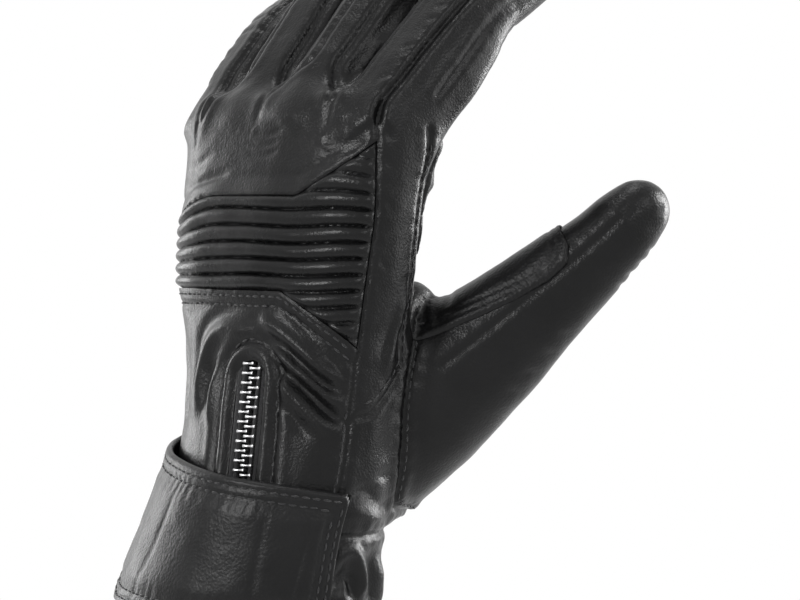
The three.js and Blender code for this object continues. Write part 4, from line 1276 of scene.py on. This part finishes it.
def quarter_round(gap, radius):
    """How far an edge has risen at a gap inside it: 0 at the edge and 1 past the radius."""
    return np.sqrt(1 - (1 - np.clip(gap / radius, 0, 1)) ** 2)


rib_columns, rib_rows = 120, 165
p, q = np.meshgrid(np.linspace(0, 1, rib_columns), np.linspace(0, 1, rib_rows))
t = rib_low(p) + q * (rib_high(p) - rib_low(p))
u = ulnar_seam + p * (back_seam(t) - ulnar_seam)
base_points, base_normals = on_skin(hand_point(u, t).reshape(-1, 3))
soft_swell = 0.34 * rough(base_points, 21, 1) + 0.16 * rough(base_points, 8.5, 2)
p_width = 112.0  # across the back, seam to seam
to_ends = np.minimum(p * p_width, 0.42 * (1 - p) * p_width)
to_edges = np.minimum(1.4 * (t - rib_low(p)), 1.4 * (rib_high(p) - t))
border = np.minimum(to_ends, to_edges)
ease = quarter_round(border, 3.2)
spread = (band_high - band_low) / (band_high - rib_droop(p) - band_low)
phase = (t - band_low) * np.where(t > band_low, spread, 1) / rib_pitch + 0.06 * np.sin(u / 9 + t / 11)
rib_form = np.abs(np.sin(math.pi * phase)) ** 0.66
fullness = 1 + 0.14 * rough(base_points, 9, 4).reshape(p.shape)
lift = ease * (rib_height * fullness * rib_form - 0.12) - 0.75 * (1 - ease)
lift = lift.ravel() + soft_swell + 0.05 * rough(base_points, 3.5, 3)
outside = base_points + lift[:, None] * base_normals
inside = base_points - leather * base_normals
ribs = sheet_piece(
    "ribbed_panel_leather", outside.reshape(*p.shape, 3), inside.reshape(*p.shape, 3), padded_hide
)
dress(ribs, "ribbed_leather", "ribbed_panel")
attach(ribs, "hand")

# ---- Fingers and thumb in leather -------------------------------------------------------------
# Each digit is sewn from a back and a front. The leather runs over the joints in one smooth skin,
# from the hand into the finger and from one length of the finger into the next.

bend_half = 7


def halves(skin, name):
    """A digit's skin cut along its side seams: the back and the front."""
    return cut(skin, digit_field(skin, name)[2] - 1)


def line_point(name, s):
    """A point on a digit's middle line."""
    digit = digits[name]
    return mm * np.array([np.interp(s, digit["s"], column) for column in digit["line"].T])


def bends(obj, bodies, name, low, high):
    """Bakes a piece of a digit's placement into its mesh. The bodies are not used, and the points at low
    and high along it are found but not used.
    """
    line_point(name, low)
    line_point(name, high)
    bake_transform(obj)


def digit_pieces(skin, name, kind, depth, suffixes):
    """Cuts a digit's skin at its middle joint into base and tip, and each into its halves."""
    base_zone, tip_zone, limit = bend_zones(name)
    lengths = cut(skin, digit_field(skin, name)[0] - limit)
    for part, zone, length in zip(("base", "tip"), (base_zone, tip_zone), lengths):
        sides = halves(length, name) if len(suffixes) > 1 else [length]
        for side, suffix in zip(sides, suffixes):
            stem = f"{kind}_{part}"
            made = shell(f"{stem}_{suffix}", side, *depth)
            near_body = "hand" if part == "base" else f"{kind}_base"
            bends(made, (near_body, stem), name, *zone)
            yield made, stem, suffix


thumb_base_zone = (thumb_knuckle - 9, thumb_knuckle + 10)
thumb_tip_zone = (thumb_joint - 8, thumb_joint + 8)
root_limit = thumb_knuckle - 10.5


def bend_zones(name):
    """Where a digit bends from the hand and at its middle joint, and where its lengths meet."""
    if name == "thumb":
        return thumb_base_zone, thumb_tip_zone, thumb_joint - 9.5
    joint = digits[name]["joint"]
    return (5.5, 19), (joint - bend_half, joint + bend_half), joint - bend_half - 1.5


def leather_digit(skin, name, kind):
    """Sews the back and front of both lengths of a digit."""
    halves_of = ("back_leather", "front_leather")
    for made, stem, suffix in digit_pieces(skin, name, kind, (hide, leather), halves_of):
        dress(made, "leather", f"{stem}_{suffix.split('_')[0]}")


for name in finger_table:
    leather_digit(parts[name], name, f"{name}_finger")
thumb_root, thumb_rest = cut(parts["thumb"], digit_field(parts["thumb"], "thumb")[0] - root_limit)
hand_panel("thumb_root_leather", thumb_root, "thumb_root")
leather_digit(thumb_rest, "thumb", "thumb")

# ---- Grip patches -----------------------------------------------------------------------------
# A second layer of leather is sewn over the inside of the thumb and over the top of the palm,
# where the glove holds the handlebar. Its edges are turned under and stitched.

patch_thick = 1.2


def turned(gap):
    """The height of a patch near its edge, rounded over where the leather is turned under."""
    return patch_thick * quarter_round(gap, 1.6)[:, None] + 0.06


def row_dips(points, rows):
    """Dips of a patch along its rows of stitches."""
    dip = np.zeros(len(points))
    for row in rows:
        tree = search_tree(row)
        away = np.array([tree.find(p)[2] for p in points])
        dip += 0.32 * hump(away, 0.8)
    return dip[:, None]


def patch_gap(skin):
    s, x, y, beside = digit_field(skin, "thumb")
    digit = digits["thumb"]
    wide, deep = (np.interp(s, digit["s"], digit[key]) for key in ("wide", "deep"))
    angle = np.degrees(np.arctan2(y / deep, x / wide))
    gap = np.radians(patch_reach(s) - np.abs(angle - 90)) * thumb_radius
    from_hand = 0.25 * thumb_share(skin, y, beside) - 0.1
    gap = np.minimum.reduce([gap, s - patch_stops[0, 0], patch_stops[-1, 0] - s, from_hand])
    return np.where(y > -10, gap, -20)


whole_thumb = parts["thumb"]
_, patch_skin = cut(whole_thumb, patch_gap(whole_thumb))
patch_skin = largest(patch_skin)
raised = turned(patch_gap(patch_skin)) - row_dips(patch_skin[0][:, :3], patch_rows)
thumb_patch = shell("thumb_grip_patch_leather", patch_skin, patch_hide, patch_thick, raised=raised)
bends(thumb_patch, ("hand", "thumb_base"), "thumb", *thumb_base_zone)
dress(thumb_patch, "leather", "thumb_grip_patch")


def cornered(beside, ends, corner):
    """How far points lie inside an outline with rounded corners, from the gaps to its sides."""
    both = np.hypot(np.maximum(corner - beside, 0), np.maximum(corner - ends, 0))
    return np.where((beside < corner) & (ends < corner), corner - both, np.minimum(beside, ends))


def grip_gap(skin):
    _, u, t = place_of(skin)
    beside = 0.85 * np.minimum(u - grip["from"], grip["to"] - u)
    return cornered(beside, np.minimum(t - grip["low"], grip["high"] - t), 7.0)


_, grip_skin = cut(palm, grip_gap(palm))
grip_skin = largest(grip_skin)
raised = turned(grip_gap(grip_skin)) - row_dips(grip_skin[0][:, :3], [grip_row])
palm_patch = shell("palm_grip_patch_leather", grip_skin, patch_hide, patch_thick, raised=raised)
dress(palm_patch, "leather", "palm_grip_patch")
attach(palm_patch, "hand")

# ---- Wrist strap ------------------------------------------------------------------------------
# A padded strap of folded leather, sewn down on the little-finger side and closed across the
# zip by a hook tape under its free end. Two rows of stitches run along its edges.

strap_root_end, strap_from, strap_to = 189, 206, 346
strap_thick = 2.4
wrist_degree = 0.72  # millimetres round the wrist to a degree
tape_thick = 1.0
clearance = 0.3


def strap_high(p):
    return wrist + 24.5 - 12.2 * p


def strap_low(p):
    return wrist - 9 - 4 * p - 12 * smoothstep(p, 0, 0.24)


def stand_off(u):
    """Gap between the hand and the strap's inside: it clears the tapes and the zip."""
    p = (u - strap_from) / (strap_to - strap_from)
    landing = 3 * clearance + 2 * tape_thick
    over_zip = 3.1 * hump(u - 291, 26)
    return layer_gap + np.clip(p / 0.3, 0, 1) * (landing - layer_gap) + over_zip


def strap_grid(low_u, high_u, columns, rows, inset=0.0):
    """Degrees, heights and the share along the strap of a grid on it."""
    u, q = np.meshgrid(np.linspace(low_u, high_u, columns), np.linspace(0, 1, rows))
    p = (u - strap_from) / (strap_to - strap_from)
    low = strap_low(np.clip(p, 0, 1)) + inset
    return u, low + q * (strap_high(p) - inset - low), p, q


u, t, p, q = strap_grid(strap_root_end, strap_to, 170, 56)
along_strap = wrist_degree * (strap_to - u)
width = strap_high(p) - strap_low(np.clip(p, 0, 1))
to_side = np.minimum(q, 1 - q) * width
strap_gap = np.maximum(cornered(to_side, along_strap, 3.5), 0)
crown = quarter_round(strap_gap, 1.5)
places = hand_point(u, t).reshape(-1, 3)
slack = (0.4 * rough(places, 16, 5) + 0.18 * rough(places, 6, 6)).reshape(u.shape)
puff = 0.75 * smoothstep(strap_gap, 5.6, 9.5)
strap_row_insets = (2.3, 4.9)
dips = sum(0.4 * hump(strap_gap - inset, 0.65) for inset in strap_row_insets)
crease = np.zeros_like(u)
for at, tilt, depth in ((222, 5, 0.35), (236, -4, 0.3), (263, 6, 0.3), (312, -5, 0.35), (329, 4, 0.45)):
    crease += depth * hump(u - at - tilt * (q - 0.5), 1.6) * np.sin(math.pi * q)
pleats = 0.2 * np.sin(u * 1.1 + 3.1 * np.sin(u / 5.3)) * hump(strap_gap - 6.5, 3.0)
pleats = pleats * (0.5 + 0.9 * rough(places, 9, 7).reshape(u.shape))
crease += pleats * smoothstep(strap_gap, 0, 2)
seat = stand_off(u)
lift = strap_thick * (0.42 + 0.58 * crown) + puff - dips * crown - crease + slack * crown
strap_outside = hand_point(u, t, -(seat + lift))
strap_inside = hand_point(u, t, -(seat + strap_thick * 0.42 * (1 - crown)))
strap = sheet_piece("wrist_strap_leather", strap_outside, strap_inside, patch_hide)
dress(strap, "leather", "wrist_strap", "strap_root")


def bend_with_strap(piece):
    """Bakes a strap piece's placement into its mesh. The points at the strap's root and free end are found
    but not used.
    """
    start, end = (mm * hand_point(at, wrist + 8.0) for at in (200, 213))
    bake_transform(piece)
    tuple(start)
    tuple(end)


bend_with_strap(strap)


def fabric_finish(name, colour, pile, fine):
    """A woven or brushed cloth: rough, with a soft sheen and a pile of that height."""
    material = start_nodes(bpy.data.materials.new(name))
    place = node("ShaderNodeTexCoord").outputs["Object"]
    cloth = node("ShaderNodeBsdfPrincipled", Roughness=0.94)
    cloth.inputs["Specular IOR Level"].default_value = 0.2
    cloth.inputs["Sheen Weight"].default_value = 0.35
    cloth.inputs["Sheen Roughness"].default_value = 0.5
    fibres = node("ShaderNodeTexNoise", Scale=fine, Detail=4.0, Roughness=0.7)
    tufts = node("ShaderNodeTexVoronoi", Scale=0.35 * fine)
    wires.new(place, fibres.inputs["Vector"])
    wires.new(place, tufts.inputs["Vector"])
    wires.new(tinted(fibres.outputs["Fac"], colour, 0.5, 1.5, 0.32, 0.7), cloth.inputs["Base Color"])
    knots = bumped(tufts.outputs["Distance"], pile, 0.6)
    wires.new(bumped(fibres.outputs["Fac"], pile, 0.8, knots), cloth.inputs["Normal"])
    wires.new(cloth.outputs[0], node("ShaderNodeOutputMaterial").inputs[0])
    return material


hook_pile = fabric_finish("hook_and_loop_tape", (0.012, 0.012, 0.013), 0.5, 2600)


def tape_piece(name, low_u, high_u, inset, depth_at):
    """A tape under the strap's free end, from depth_at(u) out to a tape's thickness more."""
    u, t, _, _ = strap_grid(low_u, high_u, 40, 26, inset)
    outer, inner = (hand_point(u, t, -(depth_at(u) + thick)) for thick in (tape_thick, 0))
    made = sheet_piece(name, outer, inner, hook_pile)
    dress(made, "hook_and_loop", name.replace("_pile", ""))
    return made


hook = tape_piece(
    "hook_tape_pile", strap_to - 26, strap_to - 3, 5, lambda u: stand_off(u) - clearance - tape_thick
)
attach(hook, "strap")
loop = tape_piece("loop_tape_pile", strap_to - 32, strap_to + 2, 4, lambda u: clearance + 0 * u)
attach(loop, "hand")

# ---- Hem binding ------------------------------------------------------------------------------
# A strip of leather is folded over the hem of leather and lining, and stitched through.

# depth and height round the folded strip: its outer side, the slot for the leather, its inner side
bead = np.array([
    (-1.3, 0.5), (-1.5, 1.6), (-1.45, 4.5), (-1.3, 7.2), (-0.9, 8.0), (-0.35, 7.8), (-0.3, 7.0),
    (-0.3, 1.35), (3.7, 1.35),
    (3.7, 7.0), (3.8, 7.8), (4.3, 8.0), (4.65, 7.2), (4.7, 1.6), (4.5, 0.5), (3.9, 0), (-0.7, 0),
])
zip_foot_u = zip_angle(np.array(0.0))
hem_gap = degrees_for(zip_foot_u, 0.0, zip_half)
hem_u = np.linspace(zip_foot_u + hem_gap, zip_foot_u - hem_gap + 360, 200)
rings = hand_point(hem_u[:, None], bead[None, :, 1], bead[None, :, 0])
wave = 0.22 * rough(rings.reshape(-1, 3), 5.5, 8).reshape(rings.shape[:2])
outer_side = np.isin(np.arange(len(bead)), [1, 2, 3])
rings = hand_point(hem_u[:, None], bead[None, :, 1], bead[None, :, 0] - wave * outer_side)
ring_points, ring_faces = lofted(rings[:, ::-1])
binding = new_object("hem_binding_leather", ring_points, ring_faces)
only(binding)
bpy.ops.object.mode_set(mode="EDIT")
bpy.ops.mesh.select_all(action="SELECT")
bpy.ops.mesh.normals_make_consistent(inside=False)
bpy.ops.object.mode_set(mode="OBJECT")
bpy.ops.object.shade_smooth_by_angle(angle=math.radians(50))
binding.data.materials.append(hide)
dress(binding, "leather", "hem_binding")
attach(binding, "hand")

# ---- Lining -----------------------------------------------------------------------------------
# Brushed fleece lines the hand, the cuff, the fingers and the thumb, a little inside the
# leather. A pleat of it lies behind the zip, so that the slider doesn't touch the wrist.

fleece = fabric_finish("fleece_lining", (0.034, 0.034, 0.036), 0.5, 1900)
lining_sink = leather + layer_gap
lining_u, lining_t = hand_place(lining_points)
lining_normals = normals_of(lining_points, lining_faces)
lining_skin = skin_of(
    lining_points, lining_normals, lining_points, lining_normals, lining_faces, lining_u, lining_t
)
linings = divide(lining_skin)
_, hand_lining = cut(linings["hand"], linings["hand"][0][:, 2] - hem)
_, hand_lining = cut(hand_lining, slit_gap(hand_lining[0][:, :3], 16, zip_top + 5.5))
for name, part in zip(("cuff_lining", "hand_lining"), cut(hand_lining, place_of(hand_lining)[2] - wrist)):
    made = shell(name + "_fleece", part, fleece, lining, sink=lining_sink)
    dress(made, "fleece", name)
    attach(made, "hand")


def lined_digit(skin, name, kind):
    """Lines both lengths of a digit."""
    depth = (fleece, lining, lining_sink)
    for made, stem, _ in digit_pieces(skin, name, kind, depth, ("lining_fleece",)):
        dress(made, "fleece", stem + "_lining")


for name in finger_table:
    lined_digit(linings[name], name, f"{name}_finger")
lining_root, lining_rest = cut(linings["thumb"], digit_field(linings["thumb"], "thumb")[0] - root_limit)
made = shell("thumb_root_lining_fleece", lining_root, fleece, lining, sink=lining_sink)
dress(made, "fleece", "thumb_root_lining")
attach(made, "hand")
lined_digit(lining_rest, "thumb", "thumb")

wall = leather + layer_gap + lining
guard_half = 19.5
side, t = np.meshgrid(np.linspace(-1, 1, 50), np.linspace(hem + clearance + 8, zip_top + 9, 80))
dip = 2.3 * np.clip((0.75 - np.abs(side)) / 0.35, 0, 1)
u = zip_angle(t) + degrees_for(zip_angle(t), t, guard_half) * side
guard_depth, guard_thick = wall + layer_gap + dip, 0.8
guard_faces = (hand_point(u, t, guard_depth + depth) for depth in (0, guard_thick))
guard = sheet_piece("zip_guard_fleece", *guard_faces, fleece)
dress(guard, "fleece", "zip_guard")
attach(guard, "hand")

# ---- Zip --------------------------------------------------------------------------------------
# A metal zip lies in the slit: two woven tapes, a row of stamped teeth clamped on the cord of
# each, a stop, and a slider with its pull tab, parked near the hem.

zip_foot = 9
tooth_pitch, tooth_reach, tooth_hook = 2.75, 3.1, 0.65
tape_width, tape_gauge = 11, 0.55
tape_depth = leather + layer_gap + 0.1
chain_depth = -(tape_depth + tape_gauge / 2)
slider_parked = 0.155 * palm_length
weave = fabric_finish("zip_tape_weave", (0.015, 0.015, 0.016), 0.18, 4200)
zip_frame = Matrix([[*column, 0] for column in (zip_side, zip_up, zip_out)]).to_3x3().transposed().to_4x4()
zip_frame.translation = Vector(zip_origin * mm)

for name, side in (("outer", -1), ("inner", 1)):
    share, t = np.meshgrid(np.linspace(0, 1, 26), np.linspace(zip_foot, zip_top + 4, 120))
    width = tooth_reach + clearance + share * tape_width
    faces_of_tape = []
    for depth in (tape_depth, tape_depth + tape_gauge):
        curved = hand_point(zip_angle(t) + side * degrees_for(zip_angle(t), t, width), t, depth)
        flat = zip_origin + (
            (side * width)[..., None] * zip_side + zip_share(t)[..., None] * zip_up - depth * zip_out
        )
        mix = smoothstep(width, 4.4, 6.2)[..., None]
        faces_of_tape.append(flat * (1 - mix) + curved * mix)
    made = sheet_piece(f"zip_tape_{name}_weave", *faces_of_tape, weave)
    dress(made, "zip_tape", f"zip_tape_{name}")
    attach(made, "hand")


def metal_finish(name, colour, roughness):
    """Plated metal, finely scratched and a little dull where it is handled."""
    material = start_nodes(bpy.data.materials.new(name))
    place = node("ShaderNodeTexCoord").outputs["Object"]
    metal = node("ShaderNodeBsdfPrincipled", Metallic=1.0)
    smears = node("ShaderNodeTexNoise", Scale=700.0, Detail=5.0, Roughness=0.65)
    scratches = node("ShaderNodeTexNoise", Scale=6000.0, Detail=2.0)
    wires.new(place, smears.inputs["Vector"])
    wires.new(place, scratches.inputs["Vector"])
    wires.new(tinted(smears.outputs["Fac"], colour, 0.62, 1.0), metal.inputs["Base Color"])
    handled = spread_over(smears.outputs["Fac"], roughness - 0.08, roughness + 0.14)
    wires.new(handled, metal.inputs["Roughness"])
    wires.new(bumped(scratches.outputs["Fac"], 0.05, 0.25), metal.inputs["Normal"])
    wires.new(metal.outputs[0], node("ShaderNodeOutputMaterial").inputs[0])
    return material


plated = metal_finish("zip_plating", (0.5, 0.5, 0.505), 0.34)


def block(size, place, bevel=0.2, segments=2):
    """A block with rounded edges, placed in the zip's own axes in millimetres."""
    bpy.ops.object.select_all(action="DESELECT")
    bpy.ops.mesh.primitive_cube_add(size=1)
    made = bpy.context.object
    made.data.transform(Matrix.Diagonal([*(mm * s for s in size), 1]))
    bpy.ops.object.mode_set(mode="EDIT")
    bpy.ops.mesh.select_all(action="SELECT")
    bpy.ops.mesh.bevel(offset=bevel * mm, segments=segments, affect="EDGES")
    bpy.ops.object.mode_set(mode="OBJECT")
    made.data.transform(Matrix.Translation(Vector(place) * mm))
    return made


def joined(name, blocks, material=plated):
    """Joins objects made in the zip's axes into one piece, placed on the glove."""
    bpy.ops.object.select_all(action="DESELECT")
    for made in blocks:
        made.select_set(True)
    bpy.context.view_layer.objects.active = blocks[0]
    if len(blocks) > 1:
        bpy.ops.object.join()
    made = bpy.context.object
    made.name = name
    made.data.transform(zip_frame)
    only(made)
    bpy.ops.object.shade_smooth_by_angle(angle=math.radians(40))
    made.data.materials.clear()
    made.data.materials.append(material)
    return made


def copied(obj, place):
    """A copy with its own mesh, shifted in the zip's axes."""
    made = obj.copy()
    made.data = obj.data.copy()
    made.data.transform(Matrix.Translation(Vector(place) * mm))
    scene.collection.objects.link(made)
    return made


def metal_part(name, blocks, body):
    """A metal piece that stands for the CAD node of its name and moves with a body."""
    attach(dress(joined(name + "_metal", blocks), "zip_metal", name), body)


first_tooth = zip_share(slider_parked) - 1.5
last_tooth = zip_share(zip_top) - 6
for name, side, shift in (("outer", -1, 0), ("inner", 1, tooth_pitch / 2)):
    length = tooth_reach + tooth_hook
    jaw = block((length, 0.98, 2.2), (side * (tooth_reach - length / 2), 0, chain_depth), 0.3)
    only(jaw)
    bpy.ops.object.mode_set(mode="EDIT")
    for at in (0.75, 1.75):
        bpy.ops.mesh.select_all(action="SELECT")
        bpy.ops.mesh.bisect(plane_co=(side * at * mm, 0, 0), plane_no=(1, 0, 0))
    bpy.ops.object.mode_set(mode="OBJECT")
    for vertex in jaw.data.vertices:
        x = abs(vertex.co.x - side * 1.25 * mm)
        if x < 0.52 * mm:
            vertex.co.z = chain_depth * mm + 0.72 * (vertex.co.z - chain_depth * mm)
            vertex.co.y *= 0.62
    cord_low = zip_share(zip_foot) + 1
    cord_high = last_tooth + 2
    cord_middle = (side * (tooth_reach - 0.6), (cord_low + cord_high) / 2, chain_depth)
    cord = block((1.2, cord_high - cord_low, 1.4), cord_middle, 0.35)
    stops = np.arange(first_tooth + shift, last_tooth, tooth_pitch)
    teeth = [copied(jaw, (0, y, 0)) for y in stops]
    bpy.data.objects.remove(jaw)
    crimp = block((1.7, 3.2, 2.4), (side * (tooth_reach - 0.85), cord_low + 2.2, chain_depth), 0.35)
    corded = joined(f"zip_cord_{name}_weave", [cord], weave)
    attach(corded, "hand")
    metal_part(f"zip_teeth_{name}", [crimp, *teeth], "hand")
stop_at = last_tooth + 2 + clearance + 1.3
metal_part("zip_end_stop", [block((5.2, 2.5, 1.8), (0, stop_at, chain_depth - 0.2), 0.45, 3)], "hand")

slider_at = zip_share(slider_parked)
plate_gauge, plate_gap = 1.15, 1.55
slider_length, slider_width = 12.5, 8.6
plates = []
for z in (chain_depth + plate_gap + plate_gauge / 2, chain_depth - plate_gap - plate_gauge / 2):
    plate = block((slider_width, slider_length, plate_gauge), (0, slider_at, z), 0.28)
    for vertex in plate.data.vertices:
        y = vertex.co.y / mm - slider_at
        vertex.co.x *= 1 - 0.26 * float(smoothstep(np.array(abs(y)), 1.5, 7.5)) * (1 if y > 0 else 0.55)
    plates.append(plate)
lip = plate_gap - tape_gauge / 2 - clearance
for side in (-1, 1):
    for face in (-1, 1):
        x = side * (slider_width / 2 - 0.4)
        z = chain_depth + face * (plate_gap - lip / 2 + 0.1)
        plates.append(block((0.7, 0.5 * slider_length, lip + 0.3), (x, slider_at - 1.6, z), 0.15))
post_at = slider_at - slider_length / 2 + 1.8
plates.append(block((2.2, 3, 2 * plate_gap + 0.6), (0, post_at, chain_depth), 0.3))
plate_top = chain_depth + plate_gap + plate_gauge
plates.append(block((2.2, 8.4, 0.9), (0, slider_at, plate_top + 1.95), 0.3, 3))
for end in (-1, 1):
    plates.append(block((2.2, 0.9, 2.2), (0, slider_at + 3.75 * end, plate_top + 0.85), 0.25))
metal_part("zip_slider", plates, "slider")

bar_height = plate_top + 0.75
tab_width, tab_length, tab_gauge = 4.8, 17, 0.9
bpy.ops.object.select_all(action="DESELECT")
bpy.ops.mesh.primitive_cylinder_add(vertices=40, radius=tab_width / 2 * mm, depth=tab_gauge * mm)
tab = bpy.context.object
for vertex in tab.data.vertices:
    if vertex.co.y > 0:
        vertex.co.y += (tab_length - 6 - tab_width / 2) * mm
        vertex.co.x *= 0.8
bpy.ops.object.mode_set(mode="EDIT")
bpy.ops.mesh.select_all(action="DESELECT")
bpy.ops.mesh.select_mode(type="FACE")
bpy.ops.object.mode_set(mode="OBJECT")
for face in tab.data.polygons:
    face.select = face.normal.z > 0.9
bpy.ops.object.mode_set(mode="EDIT")
bpy.ops.mesh.inset(thickness=0.9 * mm)
bpy.ops.transform.translate(value=(0, 0, -0.25 * mm))
bpy.ops.object.mode_set(mode="OBJECT")
tab.data.transform(Matrix.Translation(Vector((0, slider_at - tab_length + tab_width / 2, bar_height)) * mm))
rail = 1.8
tab_blocks = [tab, block((2 * rail + 0.8, 0.9, 0.9), (0, slider_at, bar_height), 0.3, 3)]
for side in (-1, 1):
    tab_blocks.append(block((0.8, 6.6, 0.85), (side * rail, slider_at - 3.2, bar_height), 0.25))
metal_part("zip_pull_tab", tab_blocks, "pull_tab")

# ---- Stitching --------------------------------------------------------------------------------
# Black bonded thread, three millimetres to the stitch, along every lapped edge.

thread = fabric_finish("bonded_thread", (0.02, 0.02, 0.021), 0.06, 9000)
bpy.ops.object.select_all(action="DESELECT")
bpy.ops.mesh.primitive_uv_sphere_add(segments=8, ring_count=6, radius=1)
stitch_form = bpy.context.object
stitch_points = np.array([v.co for v in stitch_form.data.vertices])
stitch_faces = [tuple(face.vertices) for face in stitch_form.data.polygons]
bpy.data.objects.remove(stitch_form)
ends_up = np.abs(stitch_points[:, 2])
stitch_form = np.stack([
    1.12 * stitch_points[:, 2], 0.27 * stitch_points[:, 0], 0.27 * stitch_points[:, 1] - 0.2 * ends_up**3,
], 1)
stitch_step = 3.0


def stitches(name, rows, tree):
    """One piece of thread: a stitch about every three millimetres of each row, on a surface."""
    points, faces = [], []
    for row in rows:
        length = np.concatenate([[0], np.cumsum(np.linalg.norm(np.diff(row, axis=0), axis=1))])
        at = np.arange(0.6, length[-1] - 0.6, stitch_step)
        middles, fore, aft = (
            np.stack([np.interp(at + shift, length, column) for column in row.T], -1)
            for shift in (0, 0.9, -0.9)
        )
        for middle_point, ahead in zip(middles, unit(fore - aft)):
            found, normal = tree.find_nearest(Vector(middle_point))[:2]
            normal = np.array(normal)
            ahead = unit(ahead - normal * (ahead @ normal))
            basis = np.array([ahead, np.cross(normal, ahead), normal])
            faces.extend([tuple(i + len(points) for i in face) for face in stitch_faces])
            points.extend(np.array(found) + 0.12 * normal + stitch_form @ basis)
    made = new_object(name, points, faces)
    made.data.polygons.foreach_set("use_smooth", np.ones(len(faces), bool))
    made.data.materials.append(thread)
    return made


def tree_of(obj):
    """A search tree of an object's faces, in millimetres."""
    points = [v.co / mm for v in obj.data.vertices]
    return BVHTree.FromPolygons(points, [tuple(face.vertices) for face in obj.data.polygons])


for name, rows in stitch_rows.items():
    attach(stitches(f"{name}_stitching", rows, outer_tree), "hand")
thumb_thread = stitches("thumb_patch_stitching", patch_rows, tree_of(thumb_patch))
bends(thumb_thread, ("hand", "thumb_base"), "thumb", *thumb_base_zone)
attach(stitches("palm_patch_stitching", [grip_row], tree_of(palm_patch)), "hand")
hem_row = hand_point(hem_u[3:-3], 6.2, -1.4)
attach(stitches("hem_stitching", [hem_row], tree_of(binding)), "hand")


def on_strap(u, t):
    return hand_point(u, t, -(stand_off(u) + strap_thick))


strap_rows = []
for inset in strap_row_insets:
    u = np.linspace(strap_root_end + 2, strap_to - inset / wrist_degree, 110)
    p = (u - strap_from) / (strap_to - strap_from)
    strap_rows.append(on_strap(u, strap_high(p) - inset))
    strap_rows.append(on_strap(u, strap_low(np.clip(p, 0, 1)) + inset))
    end = np.linspace(strap_low(1.0) + inset, strap_high(1.0) - inset, 20)
    strap_rows.append(on_strap(u[-1], end))
bend_with_strap(stitches("strap_stitching", strap_rows, tree_of(strap)))
